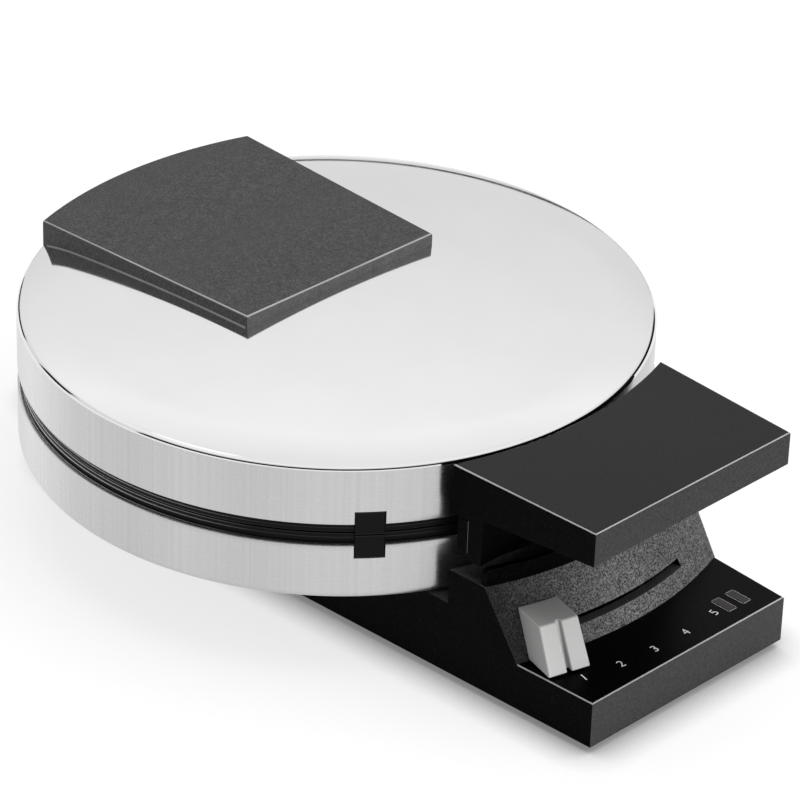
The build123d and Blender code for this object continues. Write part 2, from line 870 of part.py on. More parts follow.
with BuildPart() as thermostat_body:
    with BuildSketch(level(thermostat_bottom)) as thermostat_plan:
        Rectangle(thermostat_width, thermostat_width)
        fillet(thermostat_plan.vertices(), thermostat_corner)
        with Locations(*mirrored((tab_x, 0))):
            Rectangle(thermostat_tab, thermostat_tab)
        with Locations(*mirrored((tab_x, 0))):
            Circle(screw_radius, mode=Mode.SUBTRACT)
    extrude(amount=thermostat_height)
    with BuildSketch(level(thermostat_bottom)):
        Circle(shaft_radius + running_gap)
    extrude(amount=thermostat_height / 2, mode=Mode.SUBTRACT)
write(thermostat_body.part, "thermostat_body")
write(
    screws(level(thermostat_bottom), mirrored((tab_x, 0)), thermostat_height + slip_gap),
    "thermostat_screws",
)

with BuildPart() as thermostat_shaft:
    with BuildSketch(level(lever_height - collar_height)):
        Circle(shaft_radius)
    extrude(amount=thermostat_bottom + thermostat_height / 2 - lever_height + collar_height - slip_gap)
write(thermostat_shaft.part, "thermostat_shaft")

# Lever: a cranked steel strip from the shaft, out through the slot, to the knob
step_start = disc_radius - wall
step_end = cone_top_radius - 2 * wall - lever_sheet
tip_height = slot_height - lever_sheet / 2
lever_side = radial(knob_angle)

with BuildPart() as slider_lever:
    with BuildSketch(lever_side.offset(-lever_width / 2)):
        Polygon(
            (0, lever_height),
            (step_start, lever_height),
            (step_end, tip_height),
            (lever_tip_radius, tip_height),
            (lever_tip_radius, tip_height + lever_sheet),
            (step_end - lever_sheet / 2, tip_height + lever_sheet),
            (step_start - lever_sheet / 2, lever_height + lever_sheet),
            (0, lever_height + lever_sheet),
            align=None,
        )
    extrude(amount=lever_width)
    with BuildSketch(level(lever_height)):
        Circle(hub_radius)
    extrude(amount=lever_sheet)
    with BuildSketch(level(lever_height)):
        Circle(shaft_radius)
    extrude(amount=lever_sheet, mode=Mode.SUBTRACT)
write(slider_lever.part, "slider_lever")

with BuildPart() as lever_collars:
    for collar_floor in (lever_height - collar_height, lever_height + lever_sheet):
        with BuildSketch(level(collar_floor)):
            Circle(collar_radius)
            Circle(shaft_radius, mode=Mode.SUBTRACT)
        extrude(amount=collar_height)
write(lever_collars.part, "lever_collars")

knob_floor = panel_height + knob_lift
knob_top = panel_height + knob_rise
knob_face = Plane(
    lever_side.origin + lever_side.x_dir * cone_top_radius,
    x_dir=lever_side.z_dir * -1,
    z_dir=lever_side.x_dir,
)

with BuildPart() as knob_space:
    # The riser, grown by the running clearance of the knob
    with BuildSketch(radial(90)):
        Polygon(
            (0, 0),
            (cone_radius(0) + knob_lift, 0),
            (cone_radius(2 * ledge_height) + knob_lift, 2 * ledge_height),
            (0, 2 * ledge_height),
            align=None,
        )
    revolve(axis=disc_axis)

with BuildPart() as slider_knob:
    with BuildSketch(knob_face):
        Polygon(
            (-knob_foot_width / 2, knob_floor),
            (knob_foot_width / 2, knob_floor),
            (knob_top_width / 2, knob_top),
            (-knob_top_width / 2, knob_top),
            align=None,
        )
    extrude(amount=knob_foot_reach - cone_top_radius)
    with BuildSketch(lever_side.offset(-knob_foot_width)):
        Polygon(
            (cone_top_radius, knob_floor),
            (knob_foot_reach, knob_floor),
            (knob_top_reach, knob_top),
            (cone_top_radius, knob_top),
            align=None,
        )
    extrude(amount=2 * knob_foot_width, mode=Mode.INTERSECT)
    add(knob_space.part, mode=Mode.SUBTRACT)
    # Pointer groove down the sloping front
    with BuildSketch(lever_side.offset(-pointer_width / 2)):
        Polygon(
            (knob_foot_reach - pointer_depth, knob_floor - wall),
            (knob_foot_reach + wall, knob_floor - wall),
            (knob_top_reach + wall, knob_top + wall),
            (knob_top_reach - pointer_depth, knob_top + wall),
            (knob_top_reach - pointer_depth, knob_top),
            align=None,
        )
    extrude(amount=pointer_width, mode=Mode.SUBTRACT)
    # Blind slot that takes the lever's tip
    with BuildSketch(lever_side.offset(-lever_width / 2)):
        with Locations((lever_tip_radius / 2, slot_height)):
            Rectangle(lever_tip_radius, lever_sheet)
    extrude(amount=lever_width, mode=Mode.SUBTRACT)
write(slider_knob.part, "slider_knob")


# Indicator lights
def light_lens(x):
    with BuildPart() as lens:
        with BuildSketch(level(panel_height - wall - lens_proud)):
            with Locations((x, -lens_reach)):
                Rectangle(lens_width, lens_length)
        extrude(amount=wall + 2 * lens_proud)
        chamfer(lens.edges().group_by(Axis.Z)[-1], lens_proud / 2)
    return lens.part


lamp_height = panel_height - wall - lamp_drop


def indicator_lamp(x):
    with BuildPart() as lamp:
        with BuildSketch(front_plane.offset(lens_reach - lens_length / 2)):
            with Locations((x, lamp_height)):
                Circle(lamp_radius)
        extrude(amount=lens_length)
    return lamp.part


write(light_lens(power_lens_x), "power_light_lens")
write(light_lens(ready_lens_x), "ready_light_lens")
write(indicator_lamp(power_lens_x), "power_lamp")
write(indicator_lamp(ready_lens_x), "ready_lamp")

holder_middle = (power_lens_x + ready_lens_x) / 2
holder_half = (ready_lens_x - power_lens_x) / 2 + lens_width
holder_depth = lens_length + holder_sheet
holder_floor = lamp_height - lamp_radius - holder_sheet

with BuildPart() as lamp_holder:
    with BuildSketch(level(holder_floor)):
        with Locations((holder_middle, -lens_reach)):
            Rectangle(2 * holder_half, holder_depth)
    extrude(amount=panel_height - wall - holder_floor)
    with BuildSketch(level(holder_floor + holder_sheet)):
        with Locations((holder_middle, -lens_reach)):
            Rectangle(2 * (holder_half - holder_sheet), holder_depth)
    extrude(amount=far, mode=Mode.SUBTRACT)
write(lamp_holder.part, "lamp_holder")

# Hinge pin, knurled into the cheeks and free in the arm
with BuildPart() as hinge_pin:
    pin_half = arm_half_width + cheek_gap + cheek_thickness
    with BuildSketch(side_plane(-pin_half)):
        with Locations((pin_reach, seam_height)):
            Circle(pin_radius)
    extrude(amount=2 * pin_half)
write(hinge_pin.part, "hinge_pin")

arm_top = seam_height + arm_rise
arm_screw_points = mirrored((rear_screw_x, arm_screw_reach))

with BuildPart() as hinge_arm:
    with BuildSketch(side_plane(-arm_half_width)):
        with Locations((pin_reach, seam_height)):
            Circle(knuckle_radius)
        Polygon(
            (pin_reach + knuckle_radius, seam_height),
            (pin_reach + knuckle_radius - arm_lean, arm_top),
            (pin_reach - 2 * knuckle_radius, arm_top),
            (pin_reach - 2 * knuckle_radius, upper_bottom),
            (pin_reach - knuckle_radius, upper_bottom),
            (pin_reach - knuckle_radius, seam_height),
            align=None,
        )
    extrude(amount=2 * arm_half_width)
    with BuildSketch(level(0)):
        Circle(disc_radius + slip_gap)
    extrude(amount=far, mode=Mode.SUBTRACT)
    top_edges = hinge_arm.edges().group_by(Axis.Z)[-1]
    fillet(top_edges.filter_by(Axis.X), edge_radius)
    with BuildSketch(side_plane(-arm_half_width)):
        with Locations((pin_reach, seam_height)):
            Circle(pin_radius + running_gap)
    extrude(amount=2 * arm_half_width, mode=Mode.SUBTRACT)
    # Pocket for the bracket, seats for its screws, and holes for the leads
    with BuildSketch(level(arm_bracket_height)):
        with Locations((0, arm_bracket_end / 2)):
            Rectangle(2 * arm_bracket_half_width, arm_bracket_end)
    extrude(amount=bracket_sheet, mode=Mode.SUBTRACT)
    with BuildSketch(level(arm_bracket_height)):
        with Locations(*arm_screw_points):
            Circle(screw_radius)
    extrude(amount=far, mode=Mode.SUBTRACT)
    with BuildSketch(level(arm_top - head_height)):
        with Locations(*arm_screw_points):
            Circle(head_radius)
    extrude(amount=far, mode=Mode.SUBTRACT)
    with BuildSketch(front_plane.offset(-pin_reach)):
        with Locations(*mirrored((lid_lead_x, lid_lead_height))):
            Circle(lead_radius)
    extrude(amount=far, mode=Mode.SUBTRACT)
write(hinge_arm.part, "hinge_arm")

with BuildPart() as hinge_bracket:
    bracket_start = element_radius + tube_radius + bracket_margin
    with BuildSketch(side_plane(-arm_bracket_half_width)):
        Polygon(
            (bracket_start, bracket_height),
            (arm_bracket_step, bracket_height),
            (arm_bracket_step, arm_bracket_height),
            (arm_bracket_end, arm_bracket_height),
            (arm_bracket_end, arm_bracket_height + bracket_sheet),
            (arm_bracket_step + bracket_sheet, arm_bracket_height + bracket_sheet),
            (arm_bracket_step + bracket_sheet, bracket_height + bracket_sheet),
            (bracket_start, bracket_height + bracket_sheet),
            align=None,
        )
    extrude(amount=2 * arm_bracket_half_width)
    with BuildSketch(level(0)):
        with Locations(*rear_bracket_points, *arm_screw_points):
            Circle(screw_radius)
    extrude(amount=far, mode=Mode.SUBTRACT)
write(hinge_bracket.part, "hinge_bracket")

down_screws = Plane(
    (0, axis_y, foot_height + bracket_height + bracket_sheet), x_dir=(-1, 0, 0), z_dir=(0, 0, -1)
)
bracket_screw_length = bracket_sheet + bracket_boss_height
write(
    screws(down_screws, [(x, y) for x, y in rear_bracket_points], bracket_screw_length),
    "hinge_bracket_screws",
)
write(
    screws(down_screws, [(x, y) for x, y in front_bracket_points], bracket_screw_length),
    "handle_bracket_screws",
)
arm_screw_plane = Plane(
    (0, axis_y, foot_height + arm_top), x_dir=(-1, 0, 0), z_dir=(0, 0, -1)
)
write(
    screws(
        arm_screw_plane.offset(head_height),
        arm_screw_points,
        arm_top - head_height - arm_bracket_height,
    ),
    "hinge_arm_screws",
)

# Handle with its skirt, cut to the space in front of the rings
handle_front = front_reach - handle_setback
handle_bottom_front = handle_top - handle_front_depth
handle_bottom_root = handle_top - handle_root_depth
skirt_bottom = handle_bottom_root - skirt_drop
root_reach = disc_radius + handle_root_gap
root_shift = root_reach - disc_radius - root_setback

with BuildPart() as handle:
    with BuildSketch(side_plane(-far / 2)):
        Polygon(
            (0, handle_top),
            (-handle_front, handle_top),
            (-handle_front, handle_bottom_front),
            (-skirt_front, handle_bottom_root),
            (-skirt_front, skirt_bottom),
            (-skirt_back, skirt_bottom),
            (-skirt_back, handle_bottom_root - guard_setback),
            (0, handle_bottom_root - guard_setback),
            align=None,
        )
    extrude(amount=far)
    with BuildSketch(level(0)):
        Polygon(*tapered(handle_half_width, -handle_front, 0), align=None)
    extrude(amount=far, mode=Mode.INTERSECT)
    add(root_cut(0, root_shift, far), mode=Mode.SUBTRACT)
    top_edges = handle.edges().group_by(Axis.Z)[-1]
    fillet(top_edges, edge_radius)
    front_edges = handle.edges().group_by(Axis.Y)[0]
    fillet(front_edges.filter_by(Axis.X), edge_radius / 2)
    with BuildSketch(level(bracket_height)):
        with Locations((0, -bracket_reach / 2)):
            Rectangle(2 * bracket_half_width, bracket_reach)
    extrude(amount=bracket_sheet, mode=Mode.SUBTRACT)
    with BuildSketch(level(0)):
        with Locations(*mirrored((screw_x, -handle_screw_reach))):
            Circle(screw_radius)
    extrude(amount=bracket_height + bracket_sheet, mode=Mode.SUBTRACT)
    with BuildSketch(level(0)):
        with Locations(*mirrored((screw_x, -handle_screw_reach))):
            Circle(head_radius)
    extrude(amount=handle_bottom_root + head_height + head_sink, mode=Mode.SUBTRACT)
write(handle.part, "handle")

with BuildPart() as handle_bracket:
    front_start = element_radius + tube_radius + bracket_margin
    with BuildSketch(level(bracket_height)):
        with Locations((0, -(front_start + bracket_reach) / 2)):
            Rectangle(2 * bracket_half_width, bracket_reach - front_start)
        with Locations(*front_bracket_points, *mirrored((screw_x, -handle_screw_reach))):
            Circle(screw_radius, mode=Mode.SUBTRACT)
    extrude(amount=bracket_sheet)
write(handle_bracket.part, "handle_bracket")
write(
    screws(
        level(handle_bottom_root + head_height + head_sink),
        mirrored((screw_x, -handle_screw_reach)),
        bracket_height + bracket_sheet - handle_bottom_root - head_height - head_sink,
    ),
    "handle_screws",
)

# Blocks between the handle's skirt and the hot rings
with BuildPart() as handle_guards:
    guard_top = handle_bottom_root - guard_setback
    with BuildSketch(level(guard_top - guard_rise)):
        Polygon(*tapered(handle_half_width, -skirt_back, 0), align=None)
    extrude(amount=guard_rise)
    add(root_cut(0, root_shift + guard_setback, far), mode=Mode.SUBTRACT)
write(handle_guards.part, "handle_guards")

# Cover plate over the hinge half of the lid; its underside follows the dome
with BuildPart() as hinge_cover:
    with BuildSketch(level(upper_bottom)):
        with BuildLine():
            front_left = (-half_width_at(cover_half_width, cover_front), cover_front)
            back_left = (-half_width_at(cover_half_width, cover_corner_back), cover_corner_back)
            Polyline((-front_left[0], cover_front), front_left, back_left)
            ThreePointArc(back_left, (0, cover_back), (-back_left[0], cover_corner_back))
            Line((-back_left[0], cover_corner_back), (-front_left[0], cover_front))
        make_face()
    extrude(amount=cover_top - upper_bottom)
    with BuildSketch(side_plane(-far / 2)):
        Polygon(
            (cover_front - wall, upper_bottom),
            (cover_back + wall, upper_bottom),
            (cover_back + wall, cover_top - cover_rear_fall),
            (cover_front - wall, cover_top),
            align=None,
        )
    extrude(amount=far, mode=Mode.INTERSECT)
    add(lid_outside, mode=Mode.SUBTRACT)
    fillet(hinge_cover.faces().sort_by(Axis.Z)[-1].edges(), edge_radius)
    with BuildSketch(level(upper_bottom)):
        with Locations(*mirrored((cover_screw_x, cover_screw_y))):
            Circle(screw_radius)
    extrude(amount=cover_top - upper_bottom - wall / 2, mode=Mode.SUBTRACT)
write(hinge_cover.part, "hinge_cover")

cover_screw_seat = fold_height + dome_rise - sheet - dome_shoulder_drop
write(
    screws(
        level(cover_screw_seat),
        mirrored((cover_screw_x, cover_screw_y)),
        cover_top - wall / 2 - cover_screw_seat - slip_gap,
    ),
    "hinge_cover_screws",
)

# Terminal block under the deck, and the thermal fuse on the lower plate
deck_under = deck_height - wall
block_points = [(x, block_front + block_depth / 2) for x in (fuse_x, 0, -fuse_x)]

with BuildPart() as terminal_block:
    with BuildSketch(level(deck_under - block_height)):
        with Locations((0, block_front + block_depth / 2)):
            Rectangle(block_width, block_depth)
        with Locations(*block_points):
            Circle(screw_radius, mode=Mode.SUBTRACT)
    extrude(amount=block_height)
write(terminal_block.part, "terminal_block")
write(screws(level(deck_under - block_height), block_points, block_height), "terminal_screws")

fuse_height = lower_face - plate_back - slip_gap / 2 - fuse_radius

with BuildPart() as thermal_fuse:
    with BuildSketch(front_plane.offset(-fuse_front - fuse_length)):
        with Locations((fuse_x, fuse_height)):
            Circle(fuse_radius)
    extrude(amount=fuse_length)
write(thermal_fuse.part, "thermal_fuse")

with BuildPart() as fuse_clip:
    clip_plane = Plane(
        (fuse_x, axis_y + fuse_front + fuse_length / 2, foot_height + lower_face),
        x_dir=(1, 0, 0),
        z_dir=(0, 1, 0),
    )
    with BuildSketch(clip_plane.offset(-strap_foot / 2)):
        add(strap_section(fuse_radius, plate_back, -strap_foot / 2))
    extrude(amount=strap_foot)
write(fuse_clip.part, "fuse_clip")

# Grommet where the supply cord comes in
with BuildPart() as cord_grommet:
    with BuildSketch(inlet_plane.offset(-wall - inlet_flange)):
        Circle(inlet_radius + 2 * inlet_wall)
    extrude(amount=inlet_flange)
    with BuildSketch(inlet_plane.offset(-wall)):
        Circle(inlet_radius + inlet_wall)
    extrude(amount=wall)
    with BuildSketch(inlet_plane.offset(-wall - inlet_flange)):
        Circle(inlet_radius)
    extrude(amount=wall + inlet_flange, mode=Mode.SUBTRACT)
write(cord_grommet.part, "cord_grommet")


# Leads: round wire along straight runs joined by arcs
def lead_run(points, bend=lead_bend):
    with BuildPart() as lead:
        with BuildLine() as route:
            if len(points) == 2:
                Line(*points)
            else:
                FilletPolyline(*points, radius=bend)
        with BuildSketch(Plane(route.line @ 0, z_dir=route.line % 0)):
            Circle(lead_radius)
        sweep()
    return lead.part


def place(x, y, height):
    """A point of a lead's route in the part's frame"""
    return (x, axis_y + y, foot_height + height)


lead_height = deck_under - block_height / 2 - lead_radius
terminal_x = terminal_spacing / 2
lower_tube_height = lower_face - tube_depth
upper_tube_height = upper_face + tube_depth
thermostat_side = thermostat_width / 2

with BuildPart() as mains_leads:
    add(
        lead_run(
            [
                place(fuse_x, block_front, lead_height),
                place(fuse_x, live_hole[1], lead_height),
                place(fuse_x, live_hole[1], fuse_height),
                place(fuse_x, fuse_front + fuse_length, fuse_height),
            ]
        )
    )
    add(
        lead_run(
            [
                place(terminal_x, block_front, lead_height),
                place(terminal_x, neutral_hole_y, lead_height),
                place(terminal_x, neutral_hole_y, lower_tube_height),
                place(terminal_x, terminal_end, lower_tube_height),
            ]
        )
    )
write(mains_leads.part, "mains_leads")

with BuildPart() as thermostat_leads:
    add(
        lead_run(
            [
                place(fuse_x, fuse_front, fuse_height),
                place(fuse_x, thermostat_lead_y, fuse_height),
                place(-thermostat_side, thermostat_lead_y, fuse_height),
            ]
        )
    )
    add(
        lead_run(
            [
                place(-terminal_x, thermostat_side, lower_tube_height),
                place(-terminal_x, terminal_end, lower_tube_height),
            ]
        )
    )
write(thermostat_leads.part, "thermostat_leads")

with BuildPart() as lamp_leads:
    for x in (power_lens_x, ready_lens_x):
        route_x = lamp_lead_x + (x - holder_middle) / 2
        add(
            lead_run(
                [
                    place(x, -lens_reach + lens_length / 2, lamp_height),
                    place(x, -lens_reach + lens_length, lamp_height),
                    place(route_x, -lamp_lead_start, lead_height / 2),
                    place(route_x, lamp_lead_end, lead_height / 2),
                    place(route_x, block_front - 2 * lead_bend, lead_height),
                    place(route_x, block_front, lead_height),
                ]
            )
        )
write(lamp_leads.part, "lamp_leads")

with BuildPart() as lid_leads:
    for side in (-1, 1):
        add(
            lead_run(
                [
                    place(side * terminal_x, terminal_end, upper_tube_height),
                    place(side * terminal_x, lid_lead_front, upper_tube_height),
                    place(side * terminal_x, lid_lead_front, upper_tube_height + lid_lead_rise),
                    place(side * lid_lead_x, lid_lead_back, upper_tube_height + lid_lead_rise),
                    place(side * lid_lead_x, lid_lead_back, lid_lead_height),
                    place(side * lid_lead_x, pin_reach - knuckle_radius / 2, lid_lead_height),
                ],
                lid_lead_bend,
            )
        )
write(lid_leads.part, "lid_leads")
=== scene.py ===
import json
import math
import bmesh
import bpy
from mathutils import Matrix, Vector


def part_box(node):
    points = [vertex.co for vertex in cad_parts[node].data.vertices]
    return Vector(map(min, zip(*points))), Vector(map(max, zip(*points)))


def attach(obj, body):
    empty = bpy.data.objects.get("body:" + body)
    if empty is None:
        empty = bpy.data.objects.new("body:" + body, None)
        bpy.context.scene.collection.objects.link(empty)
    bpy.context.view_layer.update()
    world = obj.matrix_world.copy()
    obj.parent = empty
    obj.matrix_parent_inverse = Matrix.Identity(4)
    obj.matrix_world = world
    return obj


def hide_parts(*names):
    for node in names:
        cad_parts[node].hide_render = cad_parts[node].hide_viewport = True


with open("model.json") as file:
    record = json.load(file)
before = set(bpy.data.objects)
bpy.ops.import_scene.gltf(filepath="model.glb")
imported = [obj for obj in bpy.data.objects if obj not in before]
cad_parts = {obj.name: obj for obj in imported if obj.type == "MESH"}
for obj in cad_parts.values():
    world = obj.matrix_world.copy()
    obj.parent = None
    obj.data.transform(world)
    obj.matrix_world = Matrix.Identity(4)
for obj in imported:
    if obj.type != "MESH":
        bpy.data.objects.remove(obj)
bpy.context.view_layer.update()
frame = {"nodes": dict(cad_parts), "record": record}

scene = bpy.context.scene
nodes = frame["nodes"]
body_of_node = {n: b for b, members in frame["record"]["behaviour"]["bodies"].items() for n in members}
slot_of_node = {s["node"]: s["material_slot"] for s in frame["record"]["subparts"]}

# Places are written as in the drawings: millimetres from the axis of the
# plates, and heights above the underside of the stand.
low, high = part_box("lower_shell")
axis_y = (low.y + high.y) * 500
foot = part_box("base_stand")[0].z * 1000


def at(x, y, height):
    return Vector((x, y + axis_y, height + foot)) / 1000


# Camera, at the photograph's place and angle
photo_width = 800  # pixels
focal_length = 4467.4  # pixels
camera_distance = 1.3146  # metres
sensor_width = 36
azimuth = math.radians(-45.84)
elevation = math.radians(30.44)
roll = math.radians(1.92)
back = Vector((
    math.sin(azimuth) * math.cos(elevation),
    -math.cos(azimuth) * math.cos(elevation),
    math.sin(elevation),
))
right = Vector((math.cos(azimuth), math.sin(azimuth), 0))
up = back.cross(right)
tilted_right = right * math.cos(roll) + up * math.sin(roll)
tilted_up = up * math.cos(roll) - right * math.sin(roll)
camera_data = bpy.data.cameras.new("camera")
camera = bpy.data.objects.new("camera", camera_data)
scene.collection.objects.link(camera)
camera_data.sensor_width = sensor_width
camera_data.lens = focal_length / photo_width * sensor_width
camera_data.clip_start = 0.05
camera_data.clip_end = 60
target = at(-4.1, -31.3, 48.6)
place = target + back * camera_distance
camera.matrix_world = Matrix((
    (tilted_right.x, tilted_up.x, back.x, place.x),
    (tilted_right.y, tilted_up.y, back.y, place.y),
    (tilted_right.z, tilted_up.z, back.z, place.z),
    (0, 0, 0, 1),
))
scene.camera = camera
scene.view_settings.view_transform = "Standard"


# Materials
class Nodes:
    """A material's node tree with short calls for the nodes used here"""

    def __init__(self, name):
        self.material = bpy.data.materials.new(name)
        self.material.use_nodes = True
        self.tree = self.material.node_tree
        self.shader = self.tree.nodes["Principled BSDF"]
        self.coordinates = self.tree.nodes.new("ShaderNodeTexCoord").outputs["Object"]

    def link(self, source, target):
        self.tree.links.new(source, target)

    def scaled(self, scale, source=None):
        mapping = self.tree.nodes.new("ShaderNodeMapping")
        mapping.inputs["Scale"].default_value = scale
        self.link(source or self.coordinates, mapping.inputs["Vector"])
        return mapping.outputs["Vector"]

    def noise(self, scale, detail=3.0, rough=0.5, vector=None):
        node = self.tree.nodes.new("ShaderNodeTexNoise")
        node.inputs["Scale"].default_value = scale
        node.inputs["Detail"].default_value = detail
        node.inputs["Roughness"].default_value = rough
        self.link(vector or self.coordinates, node.inputs["Vector"])
        return node.outputs["Fac"]

    def cells(self, scale):
        node = self.tree.nodes.new("ShaderNodeTexVoronoi")
        node.inputs["Scale"].default_value = scale
        self.link(self.coordinates, node.inputs["Vector"])
        return node.outputs["Distance"]

    def ramp(self, source, stops):
        node = self.tree.nodes.new("ShaderNodeValToRGB")
        elements = node.color_ramp.elements
        while len(elements) < len(stops):
            elements.new(0.5)
        for element, (position, colour) in zip(elements, stops):
            element.position = position
            if not hasattr(colour, "__len__"):
                colour = (colour, colour, colour)
            element.color = (*colour[:3], 1)
        self.link(source, node.inputs["Fac"])
        return node.outputs["Color"]

    def span(self, source, low, high, start=0.0, end=1.0):
        node = self.tree.nodes.new("ShaderNodeMapRange")
        node.inputs["From Min"].default_value = start
        node.inputs["From Max"].default_value = end
        node.inputs["To Min"].default_value = low
        node.inputs["To Max"].default_value = high
        self.link(source, node.inputs["Value"])
        return node.outputs["Result"]

    def along(self, axis, low, high, stops):
        """Tone that changes along an axis; stops are places in metres with their tones"""
        share = self.span(self.separate()[axis], 0.0, 1.0, low, high)
        return self.ramp(share, [((place - low) / (high - low), tone) for place, tone in stops])

    def mix(self, factor, first, second, blend="MIX"):
        node = self.tree.nodes.new("ShaderNodeMix")
        node.data_type = "RGBA"
        node.blend_type = blend
        for socket, value in ((node.inputs[0], factor), (node.inputs[6], first), (node.inputs[7], second)):
            if hasattr(value, "is_output"):
                self.link(value, socket)
            elif hasattr(value, "__len__"):
                socket.default_value = (*value[:3], 1)
            else:
                socket.default_value = value
        return node.outputs[2]

    def bump(self, height, depth, strength=1.0):
        node = self.tree.nodes.new("ShaderNodeBump")
        node.inputs["Distance"].default_value = depth
        node.inputs["Strength"].default_value = strength
        self.link(height, node.inputs["Height"])
        return node.outputs["Normal"]

    def joined(self, operation, first, second):
        """A sum, product or the like of two outputs"""
        node = self.tree.nodes.new("ShaderNodeMath")
        node.operation = operation
        self.link(first, node.inputs[0])
        self.link(second, node.inputs[1])
        return node.outputs[0]

    def separate(self, source=None):
        """The X, Y and Z of a vector"""
        node = self.tree.nodes.new("ShaderNodeSeparateXYZ")
        self.link(source or self.coordinates, node.inputs["Vector"])
        return node.outputs

    def colour(self, source):
        self.link(source, self.shader.inputs["Base Color"])

    def set(self, **values):
        for name, value in values.items():
            socket = self.shader.inputs[name.replace("_", " ")]
            if hasattr(value, "is_output"):
                self.link(value, socket)
            elif hasattr(value, "__len__") and len(value) == 3:
                socket.default_value = (*value, 1)
            else:
                socket.default_value = value


def shade(colour, share):
    return tuple(min(1.0, c * share) for c in colour)


def moulded(name, colour, rough, specular, grain, depth, spread=0.25, flecks=0.0):
    """Moulded plastic or rubber: grain of a given size in metres, with soft tone changes"""
    m = Nodes(name)
    broad = m.noise(22, 3)
    fine = m.noise(1 / grain, 2, 0.6)
    base = m.ramp(broad, [(0.3, shade(colour, 1 - spread / 2)), (0.7, shade(colour, 1 + spread / 2))])
    if flecks:
        spots = m.ramp(m.noise(1.4 / grain, 1, 0.4), [(0.55, 0.0), (0.75, flecks)])
        base = m.mix(1.0, base, spots, "ADD")
    m.colour(base)
    m.set(Roughness=m.span(fine, rough - 0.06, rough + 0.08, 0.3, 0.7))
    m.set(Specular_IOR_Level=specular)
    m.link(m.bump(fine, depth), m.shader.inputs["Normal"])
    return m.material


def metal(name, colour, rough, grain, depth, stretch=(1, 1, 1)):
    """Metal with fine marks, drawn out along the axes with a small stretch"""
    m = Nodes(name)
    marks = m.noise(1 / grain, 3, 0.55, m.scaled(stretch))
    broad = m.noise(18, 2)
    m.colour(m.ramp(broad, [(0.3, shade(colour, 0.88)), (0.7, colour)]))
    m.set(Metallic=1.0, Roughness=m.span(marks, rough * 0.7, rough * 1.35, 0.3, 0.7))
    m.link(m.bump(marks, depth), m.shader.inputs["Normal"])
    return m.material


def speckled(name, dark, light, share, grain, rough, specular, depth, painted_shade_stops=()):
    """Black moulding whose coarse grain catches the light in flecks; the last argument paints shade across the width
    as a tone that changes along X
    """
    m = Nodes(name)
    fine = m.noise(1 / grain, 2, 0.65)
    coarse = m.noise(0.3 / grain, 2, 0.5)
    flecks = m.ramp(fine, [(0.5 - share, dark), (0.5 + share, light)])
    base = m.mix(m.span(coarse, 0.0, 0.35, 0.35, 0.65), flecks, dark)
    if painted_shade_stops:
        base = m.mix(1.0, base, m.along("X", -0.05, 0.05, painted_shade_stops), "MULTIPLY")
    m.colour(base)
    m.set(Roughness=m.span(fine, rough, rough + 0.12, 0.3, 0.7), Specular_IOR_Level=specular)
    m.link(m.bump(fine, depth), m.shader.inputs["Normal"])
    return m.material


def brushed_ring(name):
    """Steel brushed round the axis of the plates, with soft light and dark bands of painted reflection"""
    m = Nodes(name)
    offset = m.tree.nodes.new("ShaderNodeMapping")
    offset.inputs["Location"].default_value = (0, -axis_y / 1000, 0)
    m.link(m.coordinates, offset.inputs["Vector"])
    split = m.separate(offset.outputs["Vector"])
    unrolled = m.tree.nodes.new("ShaderNodeCombineXYZ")
    m.link(m.joined("ARCTAN2", split["Y"], split["X"]), unrolled.inputs["X"])
    m.link(split["Z"], unrolled.inputs["Y"])
    lines = m.noise(1.0, 3, 0.7, m.scaled((7, 9000, 1), unrolled.outputs["Vector"]))
    streaks = m.noise(1.0, 4, 0.65, m.scaled((70, 2, 1), unrolled.outputs["Vector"]))
    level = m.scaled((1, 1, 0), offset.outputs["Vector"])
    direction = m.tree.nodes.new("ShaderNodeVectorMath")
    direction.operation = "NORMALIZE"
    m.link(level, direction.inputs[0])
    # Painted reflection: light and dark bands by direction round the axis
    painted_reflection_bands = m.ramp(m.noise(1.7, 1, 0.4, direction.outputs["Vector"]), [(0.3, 0.5), (0.5, 0.6), (0.7, 0.75)])
    tone = m.mix(1.0, painted_reflection_bands, m.ramp(streaks, [(0.3, 0.94), (0.5, 1.0), (0.7, 1.05)]), "MULTIPLY")
    m.colour(m.mix(0.05, tone, m.ramp(lines, [(0.3, 0.3), (0.7, 1.0)]), "MULTIPLY"))
    m.set(Metallic=1.0, Anisotropic=0.75, Anisotropic_Rotation=0.25)
    m.set(Roughness=m.span(lines, 0.24, 0.32, 0.3, 0.7))
    tangent = m.tree.nodes.new("ShaderNodeTangent")
    tangent.direction_type = "RADIAL"
    tangent.axis = "Z"
    m.link(tangent.outputs["Tangent"], m.shader.inputs["Tangent"])
    m.link(m.bump(lines, 0.000004, 0.5), m.shader.inputs["Normal"])
    return m.material


def polished(name):
    """Dome: polished steel with faint haze and a few fine marks"""
    m = Nodes(name)
    haze = m.noise(30, 4, 0.6)
    marks = m.noise(1.0, 2, 0.5, m.scaled((2600, 60, 60)))
    m.colour(m.ramp(haze, [(0.3, (0.765, 0.765, 0.77)), (0.7, (0.79, 0.79, 0.795))]))
    m.set(Metallic=1.0, Roughness=m.span(haze, 0.06, 0.1, 0.3, 0.7))
    m.link(m.bump(marks, 0.0000006, 0.4), m.shader.inputs["Normal"])
    return m.material


def lens_material(name, colour):
    m = Nodes(name)
    inner = m.cells(900)
    m.colour(m.ramp(inner, [(0.0, shade(colour, 1.4)), (0.6, shade(colour, 0.6))]))
    m.set(Roughness=m.span(m.noise(200), 0.08, 0.14), Specular_IOR_Level=0.2, Coat_Weight=0.1)
    m.link(m.bump(inner, 0.00003, 0.4), m.shader.inputs["Normal"])
    return m.material


